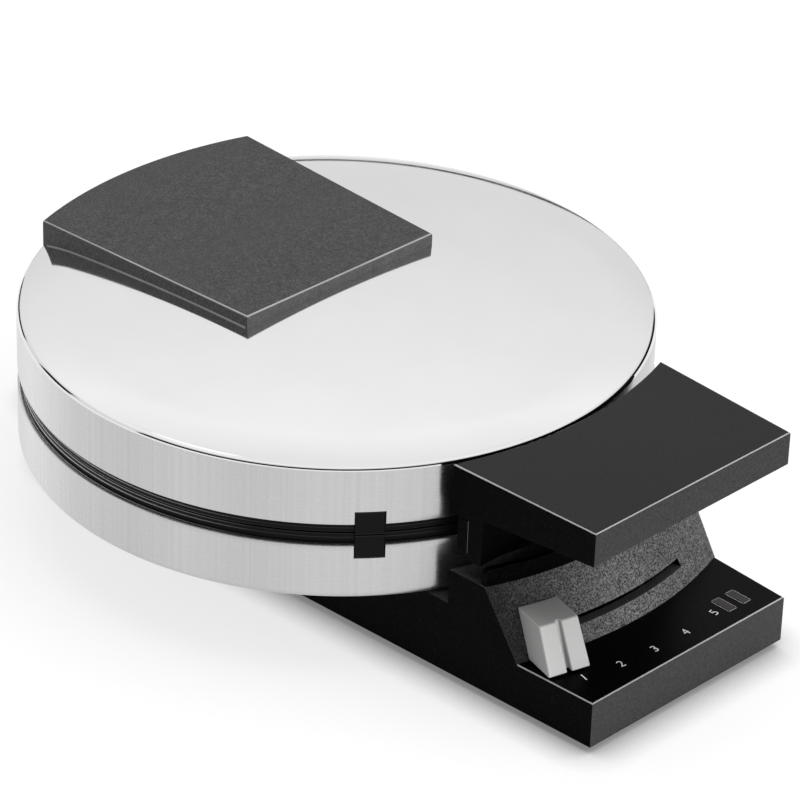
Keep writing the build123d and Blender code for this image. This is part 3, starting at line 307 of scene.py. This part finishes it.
def glass(name, colour):
    m = Nodes(name)
    m.colour(m.ramp(m.noise(300), [(0.3, shade(colour, 0.9)), (0.7, colour)]))
    m.set(Transmission_Weight=0.7, IOR=1.5, Roughness=m.span(m.noise(120), 0.03, 0.08))
    return m.material


def braid(name, colour):
    m = Nodes(name)
    wave = m.tree.nodes.new("ShaderNodeTexWave")
    wave.inputs["Scale"].default_value = 900
    wave.inputs["Distortion"].default_value = 1.5
    m.link(m.coordinates, wave.inputs["Vector"])
    m.colour(m.ramp(wave.outputs["Fac"], [(0.2, shade(colour, 0.7)), (0.8, colour)]))
    m.set(Roughness=m.span(m.noise(900), 0.7, 0.9))
    m.link(m.bump(wave.outputs["Fac"], 0.0001), m.shader.inputs["Normal"])
    return m.material


def coated(name):
    """Non-stick coat on a casting"""
    m = Nodes(name)
    fine = m.noise(2600, 2, 0.6)
    m.colour(m.ramp(m.noise(45, 3), [(0.3, (0.012, 0.012, 0.013)), (0.7, (0.024, 0.024, 0.026))]))
    m.set(Roughness=m.span(fine, 0.27, 0.42, 0.3, 0.7), Specular_IOR_Level=0.45)
    m.link(m.bump(fine, 0.00002, 0.6), m.shader.inputs["Normal"])
    return m.material


black_handle = moulded("handle_black", (0.007, 0.007, 0.0075), 0.36, 0.13, 0.0006, 0.000012, flecks=0.004)
# Lighter copy of the black plastic for the handle's front faces: painted light
lit_handle_front = speckled("handle_front", (0.011, 0.011, 0.0115), (0.076, 0.076, 0.078), 0.16, 0.00035, 0.4, 0.2, 0.00002)
# Near-black copy of the black plastic for faces turned from the light, for the guards and for all of the hinge arm:
# painted shade
shaded_flank = moulded("flank_black", (0.0008, 0.0008, 0.0009), 0.42, 0.02, 0.0005, 0.00001, flecks=0.012)
black_cover = speckled("cover_black", (0.018, 0.018, 0.019), (0.092, 0.092, 0.094), 0.16, 0.0006, 0.5, 0.2, 0.00003)
# Lighter copies of the cover's black plastic for its flanks and its front: painted light
cover_flank_lit = speckled("cover_flank_black", (0.04, 0.04, 0.041), (0.15, 0.15, 0.152), 0.2, 0.0005, 0.5, 0.2, 0.00003)
cover_front_lit = speckled("cover_front_black", (0.085, 0.085, 0.085), (0.2, 0.2, 0.2), 0.2, 0.0005, 0.45, 0.3, 0.00002)
rim_black = moulded("rim_black", (0.003, 0.003, 0.0032), 0.4, 0.1, 0.0005, 0.00001, flecks=0.003)
# The knob's grey in a lighter copy for its front and a darker copy for its sides: painted light and shade
knob_front_lit = moulded("knob_front_lit", (0.82, 0.82, 0.812), 0.45, 0.3, 0.0006, 0.00001, spread=0.06)
knob_side_shaded = moulded("knob_side_shaded", (0.46, 0.46, 0.455), 0.45, 0.2, 0.0006, 0.00001, spread=0.06)
# Pale grey of the lights' frames, also a painted highlight on forward-facing upright edges of the handle and guards
frame_and_edge_highlight_grey = moulded("frame_and_edge_highlight_grey", (0.34, 0.34, 0.34), 0.4, 0.2, 0.0005, 0.000004)
# Darker copy of the knob's grey for its top: painted shade
knob_top_shaded = moulded("knob_top_shaded", (0.48, 0.48, 0.475), 0.45, 0.2, 0.0006, 0.00001, spread=0.06)
# Painted highlight on rounded edges of the mouldings and along the cover's feet
painted_edge_highlight = moulded("painted_edge_line", (0.40, 0.40, 0.40), 0.35, 0.5, 0.0005, 0.000004, spread=0.4)
black_panel = moulded("panel_black", (0.0012, 0.0012, 0.0013), 0.3, 0.03, 0.0009, 0.000006, flecks=0.0008)
black_side = speckled("stand_black", (0.0176, 0.0176, 0.0182), (0.088, 0.088, 0.09), 0.16, 0.0004, 0.42, 0.2, 0.00004)
# The riser's grain with painted shade: much darker at its left end and half as light at its right end
grey_cone = speckled(
    "riser_grain_painted_shade", (0.025, 0.025, 0.026), (0.50, 0.50, 0.505), 0.13, 0.0005, 0.5, 0.25, 0.00006,
    painted_shade_stops=((-0.04, 0.1), (0.0, 1.0), (0.04, 0.5)),
)
steel_ring = brushed_ring("steel_ring")
# Painted highlight on the beads and the rims' outer edges: dark on the near side, bright on the far side
bead = Nodes("rim_bead_painted_highlight")
bead.colour(bead.along("Y", -0.1, 0.12, [(-0.03, 0.01), (0.05, 0.85)]))
bead.set(Roughness=bead.span(bead.noise(1600), 0.3, 0.4), Specular_IOR_Level=0.3)
rim_bead_painted_highlight = bead.material
steel_dome = polished("steel_lid")
slots = {
    "black_moulding": black_side,
    "handle_moulding": black_handle,
    "grey_moulding": moulded("knob_grey", (0.60, 0.60, 0.595), 0.45, 0.35, 0.0008, 0.000015, spread=0.06),
    "rubber": moulded("foot_rubber", (0.022, 0.022, 0.022), 0.8, 0.2, 0.0007, 0.00003),
    "zinc_steel": metal("zinc_steel", (0.62, 0.62, 0.64), 0.3, 0.0007, 0.000006),
    "steel_ring": steel_ring,
    "steel_lid": steel_dome,
    "nonstick": coated("nonstick_coat"),
    "element_sheath": metal("element_sheath", (0.2, 0.19, 0.19), 0.5, 0.0012, 0.00002),
    "bright_aluminium": metal("bright_aluminium", (0.84, 0.84, 0.85), 0.18, 0.002, 0.000005, (1, 12, 1)),
    "ceramic": moulded("ceramic_body", (0.72, 0.69, 0.62), 0.25, 0.5, 0.002, 0.00001, spread=0.1),
    "brass": metal("brass", (0.74, 0.55, 0.27), 0.25, 0.001, 0.000006),
    "fuse_case": metal("fuse_case", (0.75, 0.73, 0.7), 0.15, 0.0015, 0.000004),
    "red_lens": lens_material("red_lens", (0.014, 0.002, 0.002)),
    "green_lens": lens_material("green_lens", (0.002, 0.01, 0.004)),
    "lamp_glass": glass("lamp_glass", (0.95, 0.8, 0.65)),
    "lead_sleeve": braid("lead_sleeve", (0.72, 0.70, 0.63)),
}
for name, node in nodes.items():
    node.data.materials.clear()
    node.data.materials.append(slots[slot_of_node[name]])


# Mesh helpers
round_steps = 540  # sides of a turned piece
hard_edge = 35  # degrees between two faces, from which the edge between them is rounded


def mesh_of(bm, name):
    mesh = bpy.data.meshes.new(name)
    bm.to_mesh(mesh)
    bm.free()
    return mesh


def piece(name, mesh, body, materials, replaces=()):
    obj = bpy.data.objects.new(name, mesh)
    scene.collection.objects.link(obj)
    for material in materials:
        mesh.materials.append(material)
    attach(obj, body)
    if replaces:
        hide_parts(*replaces)
    return obj


def baked(obj):
    """The mesh that an object's modifiers make, put back as its own mesh"""
    graph = bpy.context.evaluated_depsgraph_get()
    mesh = bpy.data.meshes.new_from_object(obj.evaluated_get(graph), depsgraph=graph)
    obj.modifiers.clear()
    obj.data = mesh
    return obj


def smooth(mesh, angle):
    mesh.shade_smooth()
    mesh.set_sharp_from_angle(angle=math.radians(angle))


def softened(node, name, width, segments=3, materials=None):
    """A copy of a CAD node whose hard edges are rounded, to stand for it"""
    bm = bmesh.new()
    bm.from_mesh(nodes[node].data)
    bmesh.ops.remove_doubles(bm, verts=bm.verts, dist=0.000004)
    bmesh.ops.dissolve_limit(bm, angle_limit=math.radians(1), verts=bm.verts, edges=bm.edges)
    mesh = mesh_of(bm, name)
    slot = slot_of_node[node]
    obj = piece(name, mesh, body_of_node[node], materials or [slots[slot]], [node])
    bevel = obj.modifiers.new("edges", "BEVEL")
    bevel.width = width / 1000
    bevel.segments = segments
    bevel.limit_method = "ANGLE"
    bevel.angle_limit = math.radians(hard_edge)
    bevel.use_clamp_overlap = True
    bevel.miter_outer = "MITER_ARC"
    smooth(mesh, hard_edge)
    weighted = obj.modifiers.new("normals", "WEIGHTED_NORMAL")
    weighted.keep_sharp = True
    weighted.weight = 100
    return baked(obj)


def turned(name, profile, closed=True):
    """Mesh of a profile of (radius, height) points turned about the axis of the plates"""
    bm = bmesh.new()
    rings = []
    for radius, height in profile:
        if radius < 1e-6:
            rings.append([bm.verts.new(at(0, 0, height))] * round_steps)
            continue
        ring = []
        for index in range(round_steps):
            angle = math.radians(360 * index / round_steps)
            ring.append(bm.verts.new(at(radius * math.cos(angle), radius * math.sin(angle), height)))
        rings.append(ring)
    pairs = list(zip(rings, rings[1:] + rings[:1])) if closed else list(zip(rings, rings[1:]))
    for first, second in pairs:
        for index in range(round_steps):
            nearby = (index + 1) % round_steps
            corners = [first[index], first[nearby], second[nearby], second[index]]
            unique = []
            for corner in corners:
                if corner not in unique:
                    unique.append(corner)
            if len(unique) > 2:
                bm.faces.new(unique)
    bmesh.ops.recalc_face_normals(bm, faces=bm.faces)
    return mesh_of(bm, name)


def arc(centre, radius, first, last, count):
    """Points of an arc in a profile; angles in degrees from the radius direction"""
    return [
        (
            centre[0] + radius * math.cos(math.radians(first + (last - first) * i / count)),
            centre[1] + radius * math.sin(math.radians(first + (last - first) * i / count)),
        )
        for i in range(count + 1)
    ]


def block(name, x, y, height, angle=0.0):
    """A plain box as a cutter: ranges in x, y and height, turned about the axis of the plates"""
    bm = bmesh.new()
    bmesh.ops.create_cube(bm, size=1)
    for v in bm.verts:
        px = x[0] + (v.co.x + 0.5) * (x[1] - x[0])
        py = y[0] + (v.co.y + 0.5) * (y[1] - y[0])
        ph = height[0] + (v.co.z + 0.5) * (height[1] - height[0])
        c, s = math.cos(math.radians(angle)), math.sin(math.radians(angle))
        v.co = at(px * c - py * s, px * s + py * c, ph)
    obj = bpy.data.objects.new(name, mesh_of(bm, name))
    scene.collection.objects.link(obj)
    return obj


def cut(obj, cutters):
    """Takes the cutters out of a piece"""
    for cutter in cutters:
        modifier = obj.modifiers.new("cut", "BOOLEAN")
        modifier.operation = "DIFFERENCE"
        modifier.solver = "EXACT"
        modifier.object = cutter
        baked(obj)
    for cutter in cutters:
        bpy.data.objects.remove(cutter)
    return obj


# Steel rings, in drawing millimetres
sheet = 0.8
hem = 0.35
disc_radius = 95
crown = 73.9
dome_radius = 843.1
dome_edge, dome_edge_height = 81, 70.0
shoulder_width, shoulder_drop = 12.5, 2.3
fold_width = 1.5
fold_height = dome_edge_height - shoulder_drop
upper_bottom = 48.4
lower_top = 41.6
pan_bottom = 23.3
pan_corner = 3
corner_centre = (disc_radius - pan_corner, pan_bottom + pan_corner)
shoulder_slope = math.degrees(math.asin(dome_edge / dome_radius))


def lid_profile(inset):
    """Outside of the lid from its crown to its lower edge, at a distance below the surface"""
    points = arc((0, crown - dome_radius), dome_radius - inset, 90, 90 - shoulder_slope, 24)
    chord = math.hypot(shoulder_width, shoulder_drop)
    slope = math.degrees(math.atan2(shoulder_drop, shoulder_width))
    half_turn = slope - shoulder_slope
    edge_radius = chord / 2 / math.sin(math.radians(half_turn))
    first = 90 - shoulder_slope
    centre = (
        dome_edge - edge_radius * math.cos(math.radians(first)),
        dome_edge_height - edge_radius * math.sin(math.radians(first)),
    )
    points += arc(centre, edge_radius - inset, first, first - 2 * half_turn, 12)[1:]
    last = first - 2 * half_turn
    fold = fold_width / (1 - math.cos(math.radians(last)))
    centre = (disc_radius - fold, fold_height - fold * math.sin(math.radians(last)))
    points += arc(centre, fold - inset, last, 0, 14)[1:]
    return points


def hemmed(edge, inward):
    """Folded edge of a ring's wall; inward is the way from the edge into the wall, up or down"""
    return [
        (disc_radius - hem * 0.3, edge + inward * hem * 0.3),
        (disc_radius - hem, edge),
        (disc_radius - sheet, edge),
    ]


def ear_notches(heights):
    """Cutters for the notches in which the ears of a plate's rim stand"""
    half = ear_width / 2 + 0.2
    turns = (-90 + ear_turn, -90 - ear_turn, 90 - ear_turn, 90 + ear_turn)
    return [block("notch", (90, 98), (-half, half), heights, turn) for turn in turns]


ear_width = 8.6
ear_turn = 38.3
outside = lid_profile(0)
inside = lid_profile(sheet)
wall_top = outside[-1][1]
wall = [(disc_radius, wall_top - (wall_top - upper_bottom - hem) * i / 10) for i in range(1, 11)]
profile = outside + wall + hemmed(upper_bottom, 1)
profile += [(disc_radius - sheet, inside[-1][1])] + inside[::-1][1:]
lid_mesh = turned("lid_mesh", profile, closed=False)
lid = piece("lid_shell_steel", lid_mesh, "lid", [steel_dome, steel_ring], ["lid_shell"])
handle_slot = block("slot", (-12.2, 12.2), (-99, -90), (60.8, 63.4))
hinge_slot = block("slot", (-7.2, 7.2), (90, 99), (52.8, 55.2))
cut(lid, ear_notches((47, 52.7)) + [handle_slot, hinge_slot])
for polygon in lid.data.polygons:
    centre = polygon.center * 1000
    radius = math.hypot(centre.x, centre.y - axis_y)
    polygon.material_index = 1 if radius > 94.0 and centre.z - foot < 66.0 else 0
smooth(lid.data, 30)

pan = [(0, pan_bottom), (corner_centre[0], pan_bottom)] + arc(corner_centre, pan_corner, -90, 0, 12)[1:]
pan += [(disc_radius, corner_centre[1] + (lower_top - hem - corner_centre[1]) * i / 8) for i in range(1, 9)]
pan += hemmed(lower_top, -1) + [(disc_radius - sheet, corner_centre[1])]
pan += arc(corner_centre, pan_corner - sheet, 0, -90, 8)[1:] + [(0, pan_bottom + sheet)]
pan_mesh = turned("pan_mesh", pan, closed=False)
lower = piece("lower_shell_steel", pan_mesh, "base", [steel_ring], ["lower_shell"])
cut(lower, ear_notches((37.3, 43)))
smooth(lower.data, 30)

# Mouldings and castings
stand = softened(
    "base_stand", "stand_moulding", 0.5,
    materials=[shaded_flank, grey_cone, black_panel, black_side, painted_edge_highlight],
)
tower = softened("hinge_tower", "hinge_tower_moulding", 0.5, materials=[shaded_flank, black_side])
handle = softened(
    "handle", "handle_grip_moulding", 0.6,
    materials=[black_handle, shaded_flank, lit_handle_front, painted_edge_highlight, frame_and_edge_highlight_grey],
)
cover = softened(
    "hinge_cover", "hinge_cover_moulding", 0.5,
    materials=[black_cover, cover_flank_lit, cover_front_lit, painted_edge_highlight],
)
knob = softened(
    "slider_knob", "slider_knob_moulding", 0.45,
    materials=[knob_front_lit, knob_side_shaded, knob_top_shaded, slots["grey_moulding"]],
)
guards = softened("handle_guards", "handle_guard_blocks", 0.5, materials=[shaded_flank, frame_and_edge_highlight_grey])
softened("hinge_arm", "hinge_arm_moulding", 0.5, materials=[shaded_flank])
softened("bottom_cover", "bottom_cover_moulding", 0.3)
rims = []
for side in ("upper", "lower"):
    softened(side + "_grid_plate", side + "_grid_casting", 0.45, segments=2)
    rims.append(softened(side + "_plate_rim", side + "_rim_casting", 0.3, materials=[rim_black, rim_bead_painted_highlight]))


def sort_faces(obj, choose):
    """Sets each face's material from its middle, in drawing millimetres, and its normal"""
    for polygon in obj.data.polygons:
        centre = polygon.center * 1000
        place = Vector((centre.x, centre.y - axis_y, centre.z - foot))
        polygon.material_index = choose(place, polygon.normal)


# The painted edge highlight goes on these strips
def highlit_top_edge(normal):
    """Is this the middle strip of a rounded top edge?"""
    return 0.45 < normal.z < 0.9 and 0.5 < 1.2 * max(-normal.y, abs(normal.x))


panel_height = 14.8


def stand_face(place, normal):
    """Lip, with a painted highlight on its top edge and painted shade elsewhere, riser, edge of the panel in painted
    highlight, panel, then fronts and tops against flanks in painted shade
    """
    radius = math.hypot(place.x, place.y)
    if place.z > 34.8 and place.y < -90:
        return 4 if place.z > 36 and 0.4 < normal.z < 0.9 and abs(normal.y) > 0.25 else 0
    if 14.9 < place.z < 35.5 and 110 < radius < 125 and 0.2 < normal.z < 0.9 and place.y < 0:
        return 1
    if abs(place.z - panel_height) < 0.5 and highlit_top_edge(normal) and place.y < -112:
        return 4
    if abs(place.z - panel_height) < 0.5 and normal.z > 0.9 and radius > 119 and place.y < -100:
        return 2
    return 3 if abs(normal.y) > 0.5 or normal.z > 0.5 else 0


def upright_edge(normal):
    """Is this the middle strip of a rounded upright edge that faces forward?"""
    return abs(normal.z) < 0.5 and 0.4 < abs(normal.x) < 0.92 and normal.y < -0.35


# Painted highlights on the front top edges and forward upright edges, tops, then fronts in painted light and other
# faces in painted shade
def handle_face(place, normal):
    if highlit_top_edge(normal) and place.z > 60 and place.y < -98:
        return 3
    if place.z < 60 and upright_edge(normal):
        return 4
    if normal.z > 0.5:
        return 0
    return 2 if normal.y < -0.7 and place.y < -120 else 1


# Painted highlight on the rounded top edges and lower side edges, then the front and the flanks in painted light, and
# the top
def cover_face(place, normal):
    if highlit_top_edge(normal) or (-0.6 < normal.z < -0.15 and abs(normal.x) > 0.5):
        return 3
    if normal.y < -0.5:
        return 2
    return 1 if abs(normal.x) > 0.6 else 0


# Top and flanks in painted shade, front in painted light, other faces in the knob's own grey
def knob_face(place, normal):
    if normal.z > 0.85:
        return 2
    return 0 if normal.y < -0.8 else 1 if abs(normal.x) > 0.8 else 3


def rim_face(place, normal):
    """Only the rounded outer edges of a rim take the bead's painted highlight, not those inside the disc"""
    return int(0.25 < abs(normal.z) < 0.95 and math.hypot(place.x, place.y) > 92.8)


sort_faces(stand, stand_face)
# Hinge tower: flanks in painted shade
sort_faces(tower, lambda place, normal: 0 if abs(normal.x) > 0.5 else 1)
sort_faces(handle, handle_face)
sort_faces(cover, cover_face)
# Guards: painted highlight on forward upright edges, painted shade elsewhere
sort_faces(guards, lambda place, normal: int(upright_edge(normal)))
sort_faces(knob, knob_face)
for rim in rims:
    sort_faces(rim, rim_face)

# Painted highlight: a pale strip where each flank of the cover stands on the dome
def lid_height(radius):
    """Height of the lid's outside at a distance from its axis"""
    for (near, above), (far, below) in zip(outside, outside[1:]):
        if near <= radius <= far:
            return above + (below - above) * (radius - near) / max(far - near, 1e-6)
    return outside[-1][1]


flank_ends = [(abs(v.co.x) * 1000, v.co.y * 1000 - axis_y) for v in nodes["hinge_cover"].data.vertices]
line_section = ((0.04, 0.05), (0.04, 0.35), (-0.3, 0.35), (-0.3, 0.05))  # outward from the flank, up from the dome
line_steps = 40
front_end = min(flank_ends, key=lambda end: end[1] - 0.2 * end[0])
rear_end = max(flank_ends, key=lambda end: end[1] * 0.3 + end[0])
bm = bmesh.new()
for side in (-1, 1):
    strip = []
    for index in range(line_steps + 1):
        share = 0.01 + 0.97 * index / line_steps
        x = front_end[0] + (rear_end[0] - front_end[0]) * share
        y = front_end[1] + (rear_end[1] - front_end[1]) * share
        base = lid_height(math.hypot(x, y))
        strip.append([bm.verts.new(at(side * (x + out), y, base + rise)) for out, rise in line_section])
    for near, far in zip(strip, strip[1:]):
        for index in range(4):
            bm.faces.new((near[index], far[index], far[index - 1], near[index - 1]))
    bm.faces.new(strip[0])
    bm.faces.new(strip[-1])
bmesh.ops.recalc_face_normals(bm, faces=bm.faces)
piece("cover_foot_highlights", mesh_of(bm, "cover_foot_highlights"), "lid", [painted_edge_highlight])

# Fine beads round the black rims
for name, height, body in (("lower_rim_bead", 43.5, "base"), ("upper_rim_bead", 46.7, "lid")):
    outline = [(93.4, height - 0.2), (93.7, height - 0.08), (93.7, height + 0.08), (93.4, height + 0.2)]
    mesh = turned(name, outline)
    smooth(mesh, 70)
    piece(name, mesh, body, [rim_bead_painted_highlight])

# Numbers on the panel, on an arc about the axis of the plates
number_radius = 138.5
white_print = moulded("white_print", (0.82, 0.82, 0.82), 0.5, 0.3, 0.0004, 0.00001, 0.06)
for digit, angle in (("1", -13.66), ("2", -8.32), ("3", -3.01), ("4", 2.37), ("5", 8.02)):
    curve = bpy.data.curves.new("number_" + digit, "FONT")
    curve.body = digit
    curve.size = 0.0042
    curve.extrude = 0.00002
    curve.align_x = "CENTER"
    curve.align_y = "CENTER"
    text = bpy.data.objects.new("text", curve)
    scene.collection.objects.link(text)
    graph = bpy.context.evaluated_depsgraph_get()
    mesh = bpy.data.meshes.new_from_object(text.evaluated_get(graph))
    bpy.data.objects.remove(text)
    turn = math.radians(angle)
    spot = at(number_radius * math.sin(turn), -number_radius * math.cos(turn), panel_height + 0.03)
    mesh.transform(Matrix.Translation(spot) @ Matrix.Rotation(turn, 4, "Z"))
    piece("number_" + digit, mesh, "base", [white_print])

# Pale frames round the two lights, each of four thin bars: width, depth and middle
frame_bars = ((3.5, 0.3, 0, -3.5), (3.5, 0.3, 0, 3.5), (0.3, 7.2, -1.6, 0), (0.3, 7.2, 1.6, 0))
bar_rise = 0.08
for name in ("power_light_lens", "ready_light_lens"):
    low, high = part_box(name)
    middle = (low + high) / 2
    bm = bmesh.new()
    for width, depth, dx, dy in frame_bars:
        spot = Vector((middle.x + dx / 1000, middle.y + dy / 1000, at(0, 0, panel_height + 0.02).z))
        bar = Matrix.Diagonal((width / 1000, depth / 1000, bar_rise / 1000, 1))
        bmesh.ops.create_cube(bm, size=1, matrix=Matrix.Translation(spot) @ bar)
    piece(name + "_frame", mesh_of(bm, name + "_frame"), "base", [frame_and_edge_highlight_grey])

# Floor, background and light
def staged(name, corners, faces, material):
    """An object of the studio, from its corners and faces"""
    mesh = bpy.data.meshes.new(name)
    mesh.from_pydata(corners, [], faces)
    obj = bpy.data.objects.new(name, mesh)
    scene.collection.objects.link(obj)
    mesh.materials.append(material)
    return obj


def on_circle(radius, degrees, height):
    return (radius * math.cos(math.radians(degrees)), radius * math.sin(math.radians(degrees)), height)


# The floor gives off light, more of it to the camera and to reflections than to
# other rays, and gets darker close to the object
ground = Nodes("floor")
ground.set(
    Base_Color=(0.28, 0.28, 0.28), Roughness=0.9, Specular_IOR_Level=0.0, Emission_Color=(1, 1, 1),
)
path = ground.tree.nodes.new("ShaderNodeLightPath")
seen = ground.joined("MAXIMUM", path.outputs["Is Camera Ray"], path.outputs["Is Glossy Ray"])
nearness = ground.tree.nodes.new("ShaderNodeAmbientOcclusion")
nearness.samples = 8
nearness.inputs["Distance"].default_value = 0.012
contact = ground.span(nearness.outputs["AO"], 0.25, 1.0, 0.45, 1.0)
ground.link(
    ground.joined("MULTIPLY", ground.span(seen, 0.37, 0.745), contact),
    ground.shader.inputs["Emission Strength"],
)
reach = 12
floor_corners = [(-reach, -reach, 0), (reach, -reach, 0), (reach, reach, 0), (-reach, reach, 0)]
floor = staged("floor", floor_corners, [(0, 1, 2, 3)], ground.material)

# Cards round the studio, black below and paler above, seen only in polished
# surfaces: azimuths and elevations as seen from the object, in degrees
card_radius = 9
card_spans = (
    (157, 300, 0.5, 38), (107, 126, 0.5, 24), (70, 93, 0.5, 14), (300, 376, 0.5, 20), (20, 66, 5, 7.5),
)
dark = Nodes("card")
dark.set(Base_Color=(0.0, 0.0, 0.0), Roughness=1.0, Specular_IOR_Level=0.0, Emission_Color=(1, 1, 1))
dark.link(dark.span(dark.separate()["Z"], 0.0, 0.95, 2.8, 5.4), dark.shader.inputs["Emission Strength"])
corners, faces = [], []
for first, last, bottom, top in card_spans:
    steps = max(1, round((last - first) / 4))
    for index in range(steps):
        for turn in (index, index + 1):
            for height in (bottom, top):
                rise = card_radius * math.tan(math.radians(height))
                corners.append(on_circle(card_radius, first + (last - first) * turn / steps, rise))
        n = len(corners)
        faces.append((n - 4, n - 2, n - 1, n - 3))
cards = staged("cards", corners, faces, dark.material)
cards.visible_camera = False
cards.visible_diffuse = False
cards.visible_shadow = False

# A softbox all round, brighter toward 44 degrees up, seen only in polished surfaces
box_radius = 9.5
box_bottom, box_top = 0.02, 16.4
glow = Nodes("softbox")
height = glow.separate()["Z"]
rising = glow.span(height, 0.87, 1.12, 3.35, 8.87)
falling = glow.span(height, 1.12, 1.0, 9.2, box_top)
glow.set(Base_Color=(0.0, 0.0, 0.0), Emission_Color=(1, 1, 1), Specular_IOR_Level=0.0)
glow.link(glow.joined("MINIMUM", rising, falling), glow.shader.inputs["Emission Strength"])
corners = [on_circle(box_radius, turn, z) for turn in range(0, 360, 5) for z in (box_bottom, box_top)]
n = len(corners)
faces = [(i, (i + 2) % n, (i + 3) % n, i + 1) for i in range(0, n, 2)]
softbox = staged("softbox", corners, faces, glow.material)
softbox.visible_camera = False
softbox.visible_diffuse = False
softbox.visible_shadow = False
softbox.visible_transmission = False

# The world is white where it is seen, and lights the object at a lower strength
world = bpy.data.worlds.new("world")
scene.world = world
world.use_nodes = True
tree = world.node_tree
background = tree.nodes["Background"]
background.inputs["Color"].default_value = (1, 1, 1, 1)
path = tree.nodes.new("ShaderNodeLightPath")
total = path.outputs["Is Camera Ray"]
for ray in ("Is Glossy Ray", "Is Transmission Ray"):
    node = tree.nodes.new("ShaderNodeMath")
    node.operation = "MAXIMUM"
    tree.links.new(total, node.inputs[0])
    tree.links.new(path.outputs[ray], node.inputs[1])
    total = node.outputs[0]
strength = tree.nodes.new("ShaderNodeMapRange")
strength.inputs["To Min"].default_value = 0.26
strength.inputs["To Max"].default_value = 1.0
tree.links.new(total, strength.inputs["Value"])
tree.links.new(strength.outputs["Result"], background.inputs["Strength"])


def sun(name, azimuth, elevation, power, spread, mirrored=False):
    """Light from far away, along a direction given as seen from the object"""
    data = bpy.data.lights.new(name, "SUN")
    data.energy = power
    data.angle = math.radians(spread)
    lamp = bpy.data.objects.new(name, data)
    scene.collection.objects.link(lamp)
    lamp.visible_glossy = mirrored
    a, e = math.radians(azimuth), math.radians(elevation)
    lamp.rotation_mode = "QUATERNION"
    lamp.rotation_quaternion = Vector((
        math.cos(e) * math.cos(a), math.cos(e) * math.sin(a), math.sin(e)
    )).to_track_quat("Z", "Y")


sun("overhead", 30, 78, 1.55, 60)
sun("key", -68, 40, 1.3, 70)
sun("edge", 128, 50, 0.2, 50, mirrored=True)
